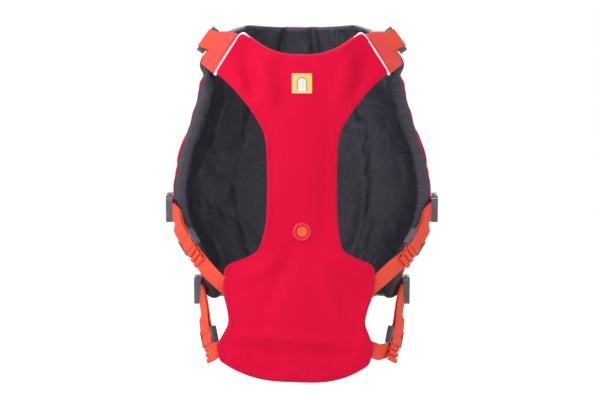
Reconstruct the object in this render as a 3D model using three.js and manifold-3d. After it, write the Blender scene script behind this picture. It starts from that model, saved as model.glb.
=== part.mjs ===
// A buoyancy jacket for a medium-sized dog: a foam-filled saddle that wraps the back and flanks, a
// padded chest and belly panel, and the webbing, buckles and adjusters that join them.
// Millimetres. +Z points to the neck, -Y to the belly panel, +X to the right as the belly is faced.
// The origin is the middle of the wearer's space.
import * as THREE from "three";
import { mergeVertices } from "three/addons/utils/BufferGeometryUtils.js";
import Module from "manifold-3d";

const wasm = await Module();
wasm.setup();

// ---------------------------------------------------------------- driving dimensions

// Layers of both padded panels, measured outwards from the inner face of the lining.
const LINING = [0, 1];
const FOAM = [2.2, 14.6];
const SHELL = [16, 17];
const PAD = SHELL[1];

// Saddle: half-width and half-depth of the space inside it, as [height, size].
const SADDLE_WIDTH = [
  [-224, 100], [-124, 106], [-77, 120], [-7, 147.5], [56, 144], [108, 127],
  [150, 116], [183, 115], [197, 107.5], [213, 96], [228, 85], [240, 77],
];
const SADDLE_DEPTH = [[-224, 84], [-124, 92], [-50, 96], [130, 96], [190, 90], [240, 74]];
const SADDLE_WRAP = THREE.MathUtils.degToRad(97); // from the spine to a flap's front edge
const SADDLE_TOP = 238;
const SHOULDER_DROP = 17;
const HEM = -124;
const RUMP_DROP = 58;
const RUMP_SHARE = 0.64; // share of the wrap over which the hem drops to the rump

// Belly panel: half-width of its outline, half-depth of its curve, and the curve's half-width.
const PANEL_OUTLINE = [
  [-198, 94], [-189, 97], [-178, 99], [-166, 93], [-152, 87.5], [-136, 89], [-114, 95.5],
  [-86, 96], [-77, 89], [-70, 70], [-61, 55], [-44, 48.5], [-15, 44.5], [45, 44],
  [86, 49], [110, 62], [131, 78], [149, 94], [163, 109],
];
const PANEL_DEPTH = [[-224, 70], [-150, 79], [-50, 84], [80, 84], [160, 76], [220, 64]];
const PANEL_CURVE = 150;
const PANEL_HEM_SAG = 25.5;
const NECKLINE = 187;
const SHOULDER_RISE = 28.5;
const SHOULDER_SHARE = 0.68; // where the neckline ends and the shoulder edge starts

// Swing of the belly panel about the neck straps.
const SWING = { y: -38, z: 207 };

// Side-release buckles: [x, y, z] of the socket's mouth on the right side.
const UPPER_MOUTH = [172.6, 0, -8];
const LOWER_MOUTH = [136, 0, -115];
const SIDE_WEBBING = 20;
const SIDE_BUCKLE = { width: 34, thick: 10, length: 34, webbing: SIDE_WEBBING };

// Neck buckles.
const NECK_WEBBING = 25;
const NECK_BUCKLE = { width: 37, thick: 10, length: 34, webbing: NECK_WEBBING };
const NECK_MOUTH = [122.2, -13.5, 211.6];
const NECK_IN = new THREE.Vector3(0.05, 0.99, 0.08).normalize();
const NECK_ACROSS = new THREE.Vector3(-0.58, 0, 0.81);

const WEBBING_THICK = 1.6;
// How far under a buckle's mid-plane its webbing runs: below a plug, and below a socket.
const UNDER_PLUG = 5.5;
const UNDER_SOCKET = 6.5;
const CLEARANCE = 0.3;

// Colours.
const RED = 0xe8123f;
const CHARCOAL = 0x3f3e4b;
const FOAM_GREY = 0xb9b9c0;
const ORANGE = 0xf2603f;
const CORAL = 0xee5050;
const BUCKLE_GREY = 0x64626b;
const PALE = 0xebe6f0;
const YELLOW = 0xe4cc6b;
const STEEL = 0xb8bcc2;

const jacket = new THREE.Group();

// ---------------------------------------------------------------- helpers

function add(name, geometry, colour, options = {}) {
  const { roughness = 0.8, metalness = 0, parent = jacket } = options;
  const material = new THREE.MeshStandardMaterial({ color: colour, roughness, metalness });
  const mesh = new THREE.Mesh(geometry, material);
  mesh.name = name;
  parent.add(mesh);
  return mesh;
}

// A smooth curve through [place, size] pairs, read at one place.
function along(pairs, place) {
  const last = pairs.length - 1;
  let i = 0;
  while (i < last - 1 && place > pairs[i + 1][0]) i++;
  const slope = (k) => {
    const a = pairs[Math.max(k - 1, 0)];
    const b = pairs[Math.min(k + 1, last)];
    return (b[1] - a[1]) / (b[0] - a[0]);
  };
  const [x0, y0] = pairs[i];
  const [x1, y1] = pairs[i + 1];
  const span = x1 - x0;
  const t = THREE.MathUtils.clamp((place - x0) / span, 0, 1);
  const rise = (1 - t) * (1 - t) * t * slope(i) * span - t * t * (1 - t) * slope(i + 1) * span;
  return y0 + (y1 - y0) * t * t * (3 - 2 * t) + rise;
}

const steps = (from, to, count) =>
  Array.from({ length: count + 1 }, (_, i) => from + ((to - from) * i) / count);

const levelsWithin = (levels, from, to) => [
  from, ...levels.filter((v) => v > from + 1e-6 && v < to - 1e-6), to,
];

// A closed solid between two sheets of points: at(column, row, side) gives a corner.
function slab(columns, rows, at) {
  const nc = columns.length;
  const nr = rows.length;
  const points = [];
  for (const side of [0, 1])
    for (const row of rows) for (const column of columns) points.push(at(column, row, side));
  const index = (c, r, side) => side * nc * nr + r * nc + c;
  const faces = [];
  const quad = (a, b, c, d) => faces.push(a, b, c, a, c, d);
  for (let r = 0; r < nr - 1; r++)
    for (let c = 0; c < nc - 1; c++) {
      quad(index(c, r, 0), index(c + 1, r, 0), index(c + 1, r + 1, 0), index(c, r + 1, 0));
      faces.push(index(c, r, 1), index(c + 1, r + 1, 1), index(c + 1, r, 1));
      faces.push(index(c, r, 1), index(c, r + 1, 1), index(c + 1, r + 1, 1));
    }
  for (let c = 0; c < nc - 1; c++) {
    quad(index(c, 0, 0), index(c, 0, 1), index(c + 1, 0, 1), index(c + 1, 0, 0));
    quad(index(c, nr - 1, 0), index(c + 1, nr - 1, 0), index(c + 1, nr - 1, 1), index(c, nr - 1, 1));
  }
  for (let r = 0; r < nr - 1; r++) {
    quad(index(0, r, 0), index(0, r + 1, 0), index(0, r + 1, 1), index(0, r, 1));
    quad(index(nc - 1, r, 0), index(nc - 1, r, 1), index(nc - 1, r + 1, 1), index(nc - 1, r + 1, 0));
  }
  const geometry = new THREE.BufferGeometry().setFromPoints(points);
  geometry.setIndex(volume(points, faces) < 0 ? faces.reverse() : faces);
  return geometry;
}

function volume(points, faces) {
  let sum = 0;
  for (let i = 0; i < faces.length; i += 3) {
    const [a, b, c] = [points[faces[i]], points[faces[i + 1]], points[faces[i + 2]]];
    sum += a.dot(b.clone().cross(c));
  }
  return sum;
}

// A flat strap: a rectangle carried along a path whose points each have an outward normal.
function strap(path, width, thick) {
  const points = path.map((p) => p.at);
  const sections = path.map((p, i) => {
    const before = points[Math.max(i - 1, 0)];
    const after = points[Math.min(i + 1, points.length - 1)];
    const run = after.clone().sub(before).normalize();
    const across = run.clone().cross(p.normal).normalize();
    const out = across.clone().cross(run).normalize();
    return { at: p.at, across, out };
  });
  return slab([-0.5, 0.5], sections, (c, s, side) =>
    s.at.clone().addScaledVector(s.across, c * width).addScaledVector(s.out, (side - 0.5) * thick),
  );
}

// A strap's path through a few knots, taken at even steps on a smooth curve.
function strapPath(knots, count) {
  const spots = knots.map((k) => new THREE.Vector3(...k.at));
  const places = new THREE.CatmullRomCurve3(spots, false, "centripetal");
  const normals = new THREE.CatmullRomCurve3(knots.map((k) => new THREE.Vector3(...k.out)));
  return steps(0, 1, count).map((t) => ({ at: places.getPoint(t), normal: normals.getPoint(t) }));
}

// Booleans.
function solid(geometry) {
  const bare = geometry.clone();
  bare.deleteAttribute("normal");
  bare.deleteAttribute("uv");
  const merged = mergeVertices(bare, 1e-4);
  return new wasm.Manifold(
    new wasm.Mesh({
      numProp: 3,
      vertProperties: new Float32Array(merged.attributes.position.array),
      triVerts: new Uint32Array(merged.index.array),
    }),
  );
}

function toGeometry(manifold) {
  const mesh = manifold.getMesh();
  return new THREE.BufferGeometry()
    .setAttribute("position", new THREE.BufferAttribute(mesh.vertProperties, 3))
    .setIndex(new THREE.BufferAttribute(mesh.triVerts, 1));
}

// The part of a webbing loop that goes through a buckle's slot, between two places along the buckle.
function through(spot, side, width, deep, from, to) {
  const depths = [-deep - 0.4, 1.5].map((x) => side * x).sort((a, b) => a - b);
  return block([depths[0], from, -width / 2], [depths[1], to, width / 2]).applyMatrix4(spot.matrixWorld);
}

const join = (...parts) => toGeometry(parts.map(solid).reduce((a, b) => a.add(b)));
const cut = (body, ...tools) =>
  toGeometry(tools.map(solid).reduce((a, b) => a.subtract(b), solid(body)));

// A box given by its low and high corners.
function block([x0, y0, z0], [x1, y1, z1]) {
  const middle = [(x0 + x1) / 2, (y0 + y1) / 2, (z0 + z1) / 2];
  return new THREE.BoxGeometry(x1 - x0, y1 - y0, z1 - z0).translate(...middle);
}

// A plate in the plane of length (Y) and width (Z) with cut-off corners, `thick` deep along X.
function plate(y0, y1, halfWidth, thick, chamfer) {
  const outline = new THREE.Shape();
  outline.moveTo(y0 + chamfer, -halfWidth);
  outline.lineTo(y1 - chamfer, -halfWidth);
  outline.lineTo(y1, -halfWidth + chamfer);
  outline.lineTo(y1, halfWidth - chamfer);
  outline.lineTo(y1 - chamfer, halfWidth);
  outline.lineTo(y0 + chamfer, halfWidth);
  outline.lineTo(y0, halfWidth - chamfer);
  outline.lineTo(y0, -halfWidth + chamfer);
  outline.closePath();
  const geometry = new THREE.ExtrudeGeometry(outline, { depth: thick, bevelEnabled: false });
  // The shape's x is length, its y is width, and its depth is thickness.
  geometry.translate(0, 0, -thick / 2);
  geometry.applyMatrix4(new THREE.Matrix4().makeBasis(
    new THREE.Vector3(0, 1, 0), new THREE.Vector3(0, 0, 1), new THREE.Vector3(1, 0, 0),
  ));
  return geometry;
}

// A placed frame: local Y runs into the socket, local Z across the webbing, local X outwards.
function frame(at, into, across) {
  const y = into.clone().normalize();
  const x = y.clone().cross(across).normalize();
  const z = x.clone().cross(y);
  const group = new THREE.Group();
  group.applyMatrix4(new THREE.Matrix4().makeBasis(x, y, z).setPosition(...at));
  group.updateMatrixWorld(true);
  jacket.add(group);
  return group;
}

// ---------------------------------------------------------------- the two padded surfaces

const smoothstep = (x, from, to) => THREE.MathUtils.smoothstep(x, from, to);

// Saddle: u runs from -1 at the left flap edge to 1 at the right one, v from the hem to the collar.
function saddleAt(u, v, out) {
  const angle = u * SADDLE_WRAP;
  const share = Math.min(Math.abs(u) / RUMP_SHARE, 1);
  const low = HEM - RUMP_DROP * (1 - share * share) ** 2;
  const high = SADDLE_TOP - SHOULDER_DROP * smoothstep(Math.abs(u), 0.5, 1);
  return saddlePoint(angle, THREE.MathUtils.lerp(low, high, v), out);
}

function saddlePoint(angle, z, out) {
  const x = (along(SADDLE_WIDTH, z) + out) * Math.sin(angle);
  const y = (along(SADDLE_DEPTH, z) + out) * Math.cos(angle);
  return new THREE.Vector3(x, y, z);
}

// Belly panel: s runs from -1 to 1 across it, v from the hem to the shoulders.
function panelAt(s, v, out) {
  const edgeLow = PANEL_OUTLINE[0][0];
  const edgeHigh = PANEL_OUTLINE.at(-1)[0];
  const halfWidth = along(PANEL_OUTLINE, THREE.MathUtils.lerp(edgeLow, edgeHigh, v));
  const low = edgeLow - PANEL_HEM_SAG * (1 - Math.abs(s) ** 2.6);
  const reach = Math.abs(s) / SHOULDER_SHARE;
  const peak = NECKLINE + SHOULDER_RISE;
  const fall = (Math.abs(s) - SHOULDER_SHARE) / (1 - SHOULDER_SHARE);
  const high = reach < 1 ? NECKLINE + SHOULDER_RISE * reach ** 2 : peak - (peak - edgeHigh) * fall;
  return panelPoint(s * halfWidth, THREE.MathUtils.lerp(low, high, v), out);
}

// The panel's curve at a place given by its width at the outer face.
function panelPoint(x, z, out) {
  const angle = Math.asin(x / (PANEL_CURVE + PAD));
  const px = (PANEL_CURVE + out) * Math.sin(angle);
  const py = -(along(PANEL_DEPTH, z) + out) * Math.cos(angle);
  return new THREE.Vector3(px, py, z);
}

const layer = (surface, columns, rows, [inner, outer]) =>
  slab(columns, rows, (c, r, side) => surface(c, r, side ? outer : inner));

const EDGE = 0.012; // share of the wrap that the foam keeps clear of a bound edge
const COLLAR_LINE = 0.845; // height, as a share, of the seam between the body and the collar
const SADDLE_ROWS = [...steps(0, COLLAR_LINE - EDGE, 12), ...steps(COLLAR_LINE + EDGE, 1, 3)];

function makeSaddle() {
  const columns = steps(-1, 1, 26);
  add("saddle_shell", layer(saddleAt, columns, SADDLE_ROWS, SHELL), RED, { roughness: 0.65 });
  add("saddle_lining", layer(saddleAt, columns, SADDLE_ROWS, LINING), CHARCOAL, { roughness: 0.6 });
  const spine = 0.34;
  const collar = 0.18;
  const body = levelsWithin(SADDLE_ROWS, EDGE, COLLAR_LINE - EDGE);
  const neck = levelsWithin(SADDLE_ROWS, COLLAR_LINE + EDGE, 1 - EDGE);
  const foams = [
    ["flank_foam_left", steps(-1 + EDGE, -spine - EDGE, 9), body],
    ["flank_foam_right", steps(spine + EDGE, 1 - EDGE, 9), body],
    ["spine_foam", steps(-spine + EDGE, spine - EDGE, 8), body],
    ["collar_foam_left", steps(-1 + EDGE, -collar - EDGE, 10), neck],
    ["collar_foam_right", steps(collar + EDGE, 1 - EDGE, 10), neck],
    ["collar_foam_center", steps(-collar + EDGE, collar - EDGE, 4), neck],
  ];
  for (const [name, across, rows] of foams)
    add(name, layer(saddleAt, across, rows, FOAM), FOAM_GREY, { roughness: 0.95 });
}

const panelLevel = (z) =>
  (z - PANEL_OUTLINE[0][0]) / (PANEL_OUTLINE.at(-1)[0] - PANEL_OUTLINE[0][0]);
const PANEL_ROWS = PANEL_OUTLINE.map(([z]) => panelLevel(z));
const PANEL_EDGE = 0.03;
const EYELET = { z: -36, ring: 11.5, hole: 7.6, disc: 7 };

function makePanel() {
  const columns = [...steps(-1, -SHOULDER_SHARE, 3), ...steps(-0.5, 0.5, 6), ...steps(SHOULDER_SHARE, 1, 3)];
  const inset = columns.map((s) => s * (1 - PANEL_EDGE));
  const front = panelPoint(0, EYELET.z, PAD).y;
  const hole = new THREE.CylinderGeometry(EYELET.ring - 2, EYELET.ring - 2, 60, 20);
  hole.translate(0, front, EYELET.z);
  const through = (geometry) => cut(geometry, hole);
  add("belly_shell", through(layer(panelAt, columns, PANEL_ROWS, SHELL)), RED, { roughness: 0.65 });
  add("belly_lining", layer(panelAt, columns, PANEL_ROWS, LINING), CHARCOAL, { roughness: 0.6 });
  const waist = panelLevel(66);
  const chest = levelsWithin(PANEL_ROWS, waist + EDGE, 1 - EDGE);
  const belly = levelsWithin(PANEL_ROWS, EDGE, waist - EDGE);
  add("chest_foam", layer(panelAt, inset, chest, FOAM), FOAM_GREY, { roughness: 0.95 });
  add("belly_foam", through(layer(panelAt, inset, belly, FOAM)), FOAM_GREY, { roughness: 0.95 });

  // Eyelet: a flanged ring through the shell, with a coloured disc seated in it.
  const profile = [
    [EYELET.hole, -9], [EYELET.ring - 2.4, -9], [EYELET.ring - 2.4, 0.4], [EYELET.ring, 0.4],
    [EYELET.ring, 2], [EYELET.ring - 1.2, 3.2], [EYELET.hole + 0.6, 3.2], [EYELET.hole, 2.4],
    [EYELET.hole, -9],
  ];
  const ring = new THREE.LatheGeometry(profile.map(([r, h]) => new THREE.Vector2(r, h)), 24);
  const facing = new THREE.Group();
  facing.position.set(0, front, EYELET.z);
  facing.rotation.x = Math.PI; // the lathe's axis turns to point out of the panel
  jacket.add(facing);
  add("eyelet_ring", ring, RED, { roughness: 0.5, parent: facing });
  const disc = new THREE.CylinderGeometry(EYELET.disc, EYELET.disc, 6, 24).translate(0, -2, 0);
  add("eyelet_disc", disc, ORANGE, { roughness: 0.5, parent: facing });

  // Badge sewn on the chest.
  const badge = { half: 12.6, z: 150, thick: 1.4 };
  const chestFace = panelPoint(0, badge.z - badge.half, PAD).y;
  const chestTop = panelPoint(0, badge.z + badge.half, PAD).y;
  const patch = new THREE.BoxGeometry(2 * badge.half, badge.thick, 2 * badge.half);
  const holder = new THREE.Group();
  holder.position.set(0, (chestFace + chestTop) / 2 - badge.thick / 2 - 2 * CLEARANCE, badge.z);
  holder.rotation.x = -Math.atan2(chestTop - chestFace, 2 * badge.half);
  jacket.add(holder);
  add("chest_badge", patch, YELLOW, { roughness: 0.5, parent: holder });
}

// ---------------------------------------------------------------- shoulders and neck closure

const PIPING = 1.9;

function makeShoulder(side, hand) {
  const edge = steps(SHOULDER_SHARE, 1, 6).map((s) => {
    const p = panelAt(s, 1, PAD - 3);
    return new THREE.Vector3(side * (p.x + 3), p.y, p.z + 1.9);
  });
  const section = new THREE.Shape().absarc(0, 0, PIPING, 0, 2 * Math.PI);
  const tube = new THREE.ExtrudeGeometry(section, {
    extrudePath: new THREE.CatmullRomCurve3(edge), steps: 12, curveSegments: 4, bevelEnabled: false,
  });
  add("shoulder_piping_" + hand, tube, PALE, { roughness: 0.4 });

  const flip = (v) => [side * v[0], v[1], v[2]];
  const outward = flip([0.8, -0.15, 0.58]);
  const into = new THREE.Vector3(side * NECK_IN.x, NECK_IN.y, NECK_IN.z);
  const spot = frame([side * NECK_MOUTH[0], NECK_MOUTH[1], NECK_MOUTH[2]], into,
    new THREE.Vector3(side * NECK_ACROSS.x, NECK_ACROSS.y, NECK_ACROSS.z));
  const under = (place, deep) => ({
    at: spot.localToWorld(new THREE.Vector3(-side * deep, place, 0)).toArray(), out: outward,
  });
  add("neck_socket_" + hand, socket(NECK_BUCKLE), BUCKLE_GREY, { roughness: 0.45, parent: spot });
  add("neck_plug_" + hand, plug(NECK_BUCKLE), BUCKLE_GREY, { roughness: 0.45, parent: spot });

  // Neck webbing: from inside the sleeve, under the plug's bar and up through its slot.
  const sleeveward = flip([0.62, -0.6, 0.5]);
  const knots = [
    { at: flip([107, -50, 197]), out: sleeveward },
    { at: flip([117.5, -41, 206.5]), out: flip([0.74, -0.4, 0.54]) },
    under(-15, UNDER_PLUG),
    under(-6, UNDER_PLUG),
  ];

  // Sleeve: a soft flat tube from the shoulder edge, open where the webbing comes out.
  const sleeveColumns = [0, 0.25, 0.5, 0.75, 1];
  const start = [[82.5, -60, 216.5], [114, -57, 166]];
  const finish = [[103.5, -40, 218.5], [128.5, -34, 178]];
  const corner = (pair, c) => new THREE.Vector3(...pair[0]).lerp(new THREE.Vector3(...pair[1]), c);
  const sleeve = slab(sleeveColumns, [0, 0.35, 0.7, 1], (c, r, face) => {
    const p = corner(start, c).lerp(corner(finish, c), r);
    const bulge = Math.sin(Math.PI * r) * 2.5;
    p.addScaledVector(new THREE.Vector3(0.66, -0.5, 0.5), bulge + (face - 0.5) * 7);
    return new THREE.Vector3(side * p.x, p.y, p.z);
  });
  const slot = strap(strapPath(knots, 8), NECK_WEBBING + 2, WEBBING_THICK + 2);
  add("neck_sleeve_" + hand, cut(sleeve, slot), CORAL);

  const plugLoop = through(spot, side, NECK_WEBBING, UNDER_PLUG, -8.4, -5.6);
  const webbing = strap(strapPath(knots, 8), NECK_WEBBING, WEBBING_THICK);
  add("neck_webbing_" + hand, join(webbing, plugLoop), ORANGE);

  const end = NECK_BUCKLE.length;
  const anchor = [
    under(end - 5, UNDER_SOCKET), under(end + 1, UNDER_SOCKET),
    ...saddleKnots(side, [68, 60, 53], 211, 3),
  ];
  const socketLoop = through(spot, side, NECK_WEBBING - 5, UNDER_SOCKET, end - 6.6, end - 3.8);
  const anchorStrap = strap(strapPath(anchor, 9), NECK_WEBBING - 5, WEBBING_THICK);
  add("neck_anchor_" + hand, join(anchorStrap, socketLoop), ORANGE);
}

// The saddle's outward normal at an angle from the spine, and a spot `lift` above its outer face.
function saddleNormal(side, degrees, z) {
  const angle = side * THREE.MathUtils.degToRad(degrees);
  const round = saddlePoint(angle + 0.01, z, PAD).sub(saddlePoint(angle - 0.01, z, PAD));
  const up = saddlePoint(angle, z + 3, PAD).sub(saddlePoint(angle, z - 3, PAD));
  return up.cross(round).normalize();
}

function saddleSpot(side, degrees, z, lift) {
  const p = saddlePoint(side * THREE.MathUtils.degToRad(degrees), z, PAD);
  return p.addScaledVector(saddleNormal(side, degrees, z), lift).toArray();
}

// Knots that lie on the saddle's outer face along one height.
const saddleKnots = (side, angles, z, lift) => angles.map((degrees) => ({
  at: saddleSpot(side, degrees, z, lift), out: saddleNormal(side, degrees, z).toArray(),
}));

// ---------------------------------------------------------------- side-release buckles

const WALL = 1.8;
const SIDE_WALL = 3.6;
const CAVITY = 23;
const REACH = 16; // how far a plug goes into its socket
const BASE = 12; // length of a plug outside its socket

function socket({ width, thick, length, webbing }) {
  const body = plate(0, length, width / 2, thick, 3);
  const half = width / 2 - SIDE_WALL;
  const cavity = block([-thick / 2 + WALL, -1, -half], [thick / 2 - WALL, CAVITY, half]);
  const slotHalf = webbing / 2 + 1;
  const slot = block([-thick, length - 7.2, -slotHalf], [thick, length - 3.2, slotHalf]);
  const beyond = half + SIDE_WALL + 1;
  const sides = [[half - 1, beyond], [-beyond, 1 - half]];
  const windows = sides.map(([z0, z1]) => block([-2, 6, z0], [2, 17, z1]));
  return cut(body, cavity, slot, ...windows);
}

function plug({ width, thick, webbing }) {
  const half = width / 2 - SIDE_WALL - 1.2;
  const base = plate(-BASE, -0.6, width / 2 - 1.5, thick - 1.5, 2.5);
  const slotHalf = webbing / 2 + 1;
  const slot = block([-thick, -BASE + 2.8, -slotHalf], [thick, -BASE + 7.2, slotHalf]);
  const arm = (s) => block([-2.2, -2, s > 0 ? half - 3.4 : -half], [2.2, REACH, s > 0 ? half : -half + 3.4]);
  const guide = block([-1.4, -2, -2.2], [1.4, REACH - 2, 2.2]);
  return cut(join(base, arm(1), arm(-1), guide), slot);
}

function triGlide(webbing) {
  const half = webbing / 2 + 4;
  const inner = webbing / 2 + 1;
  const top = 3.9;
  const low = -3.9;
  const gap = WEBBING_THICK / 2 + CLEARANCE;
  const rails = [[inner, half], [-half, -inner]].map(([z0, z1]) => block([low, -11, z0], [top, 11, z1]));
  const ends = [[8, 11], [-11, -8]].map(([y0, y1]) => block([gap, y0, 1 - half], [top, y1, half - 1]));
  const centre = block([low, -2.6, -half + 1], [-gap, 2.6, half - 1]);
  return join(...rails, ...ends, centre);
}

// One side strap with its buckle, adjuster and the tab that holds the socket on the saddle.
function makeSideStrap(name, side, mouth, glide, knots, tab) {
  const turn = Math.atan2(mouth[1] - SWING.y, SWING.z - mouth[2]);
  const into = new THREE.Vector3(0, Math.cos(turn), Math.sin(turn));
  const across = new THREE.Vector3(0, -Math.sin(turn), Math.cos(turn));
  const spot = frame([side * mouth[0], mouth[1], mouth[2]], into, across);
  add(name.replace("_", "_socket_"), socket(SIDE_BUCKLE), BUCKLE_GREY, { roughness: 0.45, parent: spot });
  add(name.replace("_", "_plug_"), plug(SIDE_BUCKLE), BUCKLE_GREY, { roughness: 0.45, parent: spot });

  const under = (place, deep) => ({
    at: spot.localToWorld(new THREE.Vector3(-side * deep, place, 0)).toArray(), out: [side, 0, 0],
  });
  const flip = ({ at, out }) => ({ at: [side * at[0], at[1], at[2]], out: [side * out[0], out[1], out[2]] });
  const run = strapPath([...knots.map(flip), under(-13, UNDER_PLUG), under(-6, UNDER_PLUG)], 20);
  const plugLoop = through(spot, side, SIDE_WEBBING, UNDER_PLUG, -8.4, -5.6);
  add(name.replace("_", "_strap_"), join(strap(run, SIDE_WEBBING, WEBBING_THICK), plugLoop), ORANGE);

  const at = new THREE.Vector3(side * glide.at[0], glide.at[1], glide.at[2]);
  const line = new THREE.Vector3(side * glide.run[0], glide.run[1], glide.run[2]).normalize();
  const out = new THREE.Vector3(side * glide.out[0], glide.out[1], glide.out[2]);
  const seat = frame(at.toArray(), line, out.clone().cross(line).normalize());
  add(name.replace("_", "_glide_"), triGlide(SIDE_WEBBING), BUCKLE_GREY, { roughness: 0.45, parent: seat });

  const end = SIDE_BUCKLE.length;
  const sewn = saddleKnots(side, tab.angles, tab.z, 2.2);
  const back = [under(end - 5, UNDER_SOCKET), under(end + 1, UNDER_SOCKET), ...sewn];
  const socketLoop = through(spot, side, SIDE_WEBBING, UNDER_SOCKET, end - 6.6, end - 3.8);
  const tabStrap = strap(strapPath(back, 10), SIDE_WEBBING, WEBBING_THICK);
  add(name.replace("_", "_tab_"), join(tabStrap, socketLoop), ORANGE);
}

// A strap's run, straight through its adjuster: knots for the panel end and the plug end.
function strapKnots(panelEnd, glide, plugEnd) {
  const run = new THREE.Vector3(...glide.run).normalize();
  const spots = [-26, -13, 0, 13, 26].map((d) => ({
    at: new THREE.Vector3(...glide.at).addScaledVector(run, d).toArray(), out: glide.out,
  }));
  return [...panelEnd, ...spots, ...plugEnd];
}

const UPPER_GLIDE = { at: [144.5, -46, -50], run: [0.5, 0.42, 0.76], out: [0.72, -0.68, -0.1] };
const LOWER_GLIDE = { at: [119, -40, -172], run: [0.2, 0.28, 0.94], out: [0.8, -0.6, 0] };

function makeSideStraps() {
  for (const [hand, side] of [["left", -1], ["right", 1]]) {
    const upper = strapKnots(
      [
        { at: [102, -77, -98.5], out: [0.5, -0.86, 0] },
        { at: [118, -68, -83], out: [0.6, -0.8, 0] },
      ],
      UPPER_GLIDE,
      [{ at: [162, -25, -19], out: [0.9, -0.4, 0] }],
    );
    const upperTab = { z: -2, angles: [62, 54, 47, 40] };
    makeSideStrap("upper_" + hand, side, UPPER_MOUTH, UPPER_GLIDE, upper, upperTab);
    const lower = strapKnots(
      [
        { at: [102.5, -66, -187], out: [0.5, -0.86, 0] },
        { at: [107.5, -60, -190], out: [0.6, -0.8, 0] },
      ],
      LOWER_GLIDE,
      [{ at: [127, -25, -138], out: [0.9, -0.4, 0] }],
    );
    const lowerTab = { z: -106, angles: [58, 49, 42, 35] };
    makeSideStrap("lower_" + hand, side, LOWER_MOUTH, LOWER_GLIDE, lower, lowerTab);
  }
}

// ---------------------------------------------------------------- fittings on the back

const HANDLE = { low: 10, high: 112, lift: 30, width: 22, thick: 7, end: 15 };
const RING = { z: 168, half: 15, wire: 2.1 };

function makeBack() {
  const back = (z) => saddlePoint(0, z, PAD).y;
  const foot = back(60) + 1.6;

  // Grab handle: a padded strap that stands off the spine, held at each end under a patch.
  const rise = (t) => Math.sin(Math.PI * t) ** 0.7;
  const handle = slab([-1, -0.4, 0.4, 1], steps(0, 1, 15), (c, t, face) => {
    const grip = smoothstep(t, 0.12, 0.3) * smoothstep(1 - t, 0.12, 0.3);
    const half = THREE.MathUtils.lerp(HANDLE.end, HANDLE.width, grip) / 2;
    const thick = THREE.MathUtils.lerp(2.4, HANDLE.thick, grip) * (Math.abs(c) === 1 ? 0.6 : 1);
    const z = THREE.MathUtils.lerp(HANDLE.low, HANDLE.high, t);
    return new THREE.Vector3(c * half, foot + 4 + HANDLE.lift * rise(t) + (face - 0.5) * thick, z);
  });
  add("grab_handle", handle, ORANGE, { roughness: 0.7 });

  // Patches, each with the tongue of webbing that rises from it to the handle's end.
  for (const [name, end, away] of [["rear", HANDLE.low, -1], ["front", HANDLE.high, 1]]) {
    const z = end + away * 19;
    const patch = slab([-1, 0, 1], [z - 13, z, z + 13], (c, h, face) =>
      saddlePoint(c * 0.16, h, PAD + CLEARANCE + 0.2 + face * 1.6),
    );
    const tongue = slab([-1, 0, 1], steps(0, 1, 5), (c, t, face) => {
      const h = THREE.MathUtils.lerp(end + away * 10, end + away * 1.4, away < 0 ? t : 1 - t);
      const lift = smoothstep(Math.abs(h - end - away * 10) / 8.6, 0, 1);
      const y = THREE.MathUtils.lerp(saddlePoint(0, h, PAD).y + 0.8, foot + 3.2, lift);
      return new THREE.Vector3((c * HANDLE.end) / 2, y + face * 1.6, h);
    });
    add("handle_patch_" + name, join(patch, tongue), BUCKLE_GREY, { roughness: 0.7 });
  }

  // Leash ring: a steel D hanging in a webbing tab just behind the neck.
  const ringY = back(RING.z) + 4.6;
  const bow = new THREE.TorusGeometry(RING.half, RING.wire, 8, 28).rotateX(Math.PI / 2);
  const upperHalf = block([-40, -10, 0], [40, 10, 40]);
  const bar = new THREE.CylinderGeometry(RING.wire, RING.wire, 2 * RING.half + 2, 8).rotateZ(Math.PI / 2);
  const ring = join(cut(bow, upperHalf), bar);
  add("leash_ring", ring.translate(0, ringY, RING.z), STEEL, { roughness: 0.25, metalness: 1 });

  const tabSide = [];
  for (const a of steps(-Math.PI / 2, Math.PI / 2, 6))
    tabSide.push([3.9 * Math.cos(a), 3.9 * Math.sin(a)]);
  const outer = tabSide.map(([dy, dz]) => new THREE.Vector3(0, ringY + dy * 1.0, RING.z + dz));
  const legLow = new THREE.Vector3(0, back(RING.z - 4) + 1.6, RING.z - 4);
  const legHigh = new THREE.Vector3(0, back(RING.z + 14) + 1.4, RING.z + 14);
  const tabPoints = [legLow, ...outer, legHigh];
  const tabPath = tabPoints.map((p, i) => {
    const before = tabPoints[Math.max(i - 1, 0)];
    const after = tabPoints[Math.min(i + 1, tabPoints.length - 1)];
    const run = after.clone().sub(before).normalize();
    return { at: p, normal: new THREE.Vector3(1, 0, 0).cross(run) };
  });
  add("leash_ring_tab", strap(tabPath, 18, 1.4), ORANGE);

  // Light loop: a small flat webbing keeper above the ring's tab.
  const keeper = slab([-9, -3, 3, 9], steps(0, 1, 6), (c, t, face) => {
    const z = THREE.MathUtils.lerp(194, 210, t);
    const stand = 1 + 4 * Math.sin(Math.PI * t) + face * 1.4;
    return new THREE.Vector3(c, back(z) + stand, z);
  });
  add("light_loop", keeper, CHARCOAL);

  // Reflective strips along the flanks.
  for (const [hand, side] of [["left", -1], ["right", 1]]) {
    const strip = slab([0.3, 0.34, 0.38], steps(0.25, 0.78, 9), (c, v, face) =>
      saddleAt(side * c, v, PAD + 0.6 + face * 0.6),
    );
    add("reflective_strip_" + hand, strip, PALE, { roughness: 0.3 });
  }
}

// ---------------------------------------------------------------- assembly

makeSaddle();
makePanel();
makeShoulder(-1, "left");
makeShoulder(1, "right");
makeSideStraps();
makeBack();

export default jacket;
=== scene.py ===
import math

import bmesh
import bpy
import numpy as np
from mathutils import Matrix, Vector
from mathutils.bvhtree import BVHTree


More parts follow.
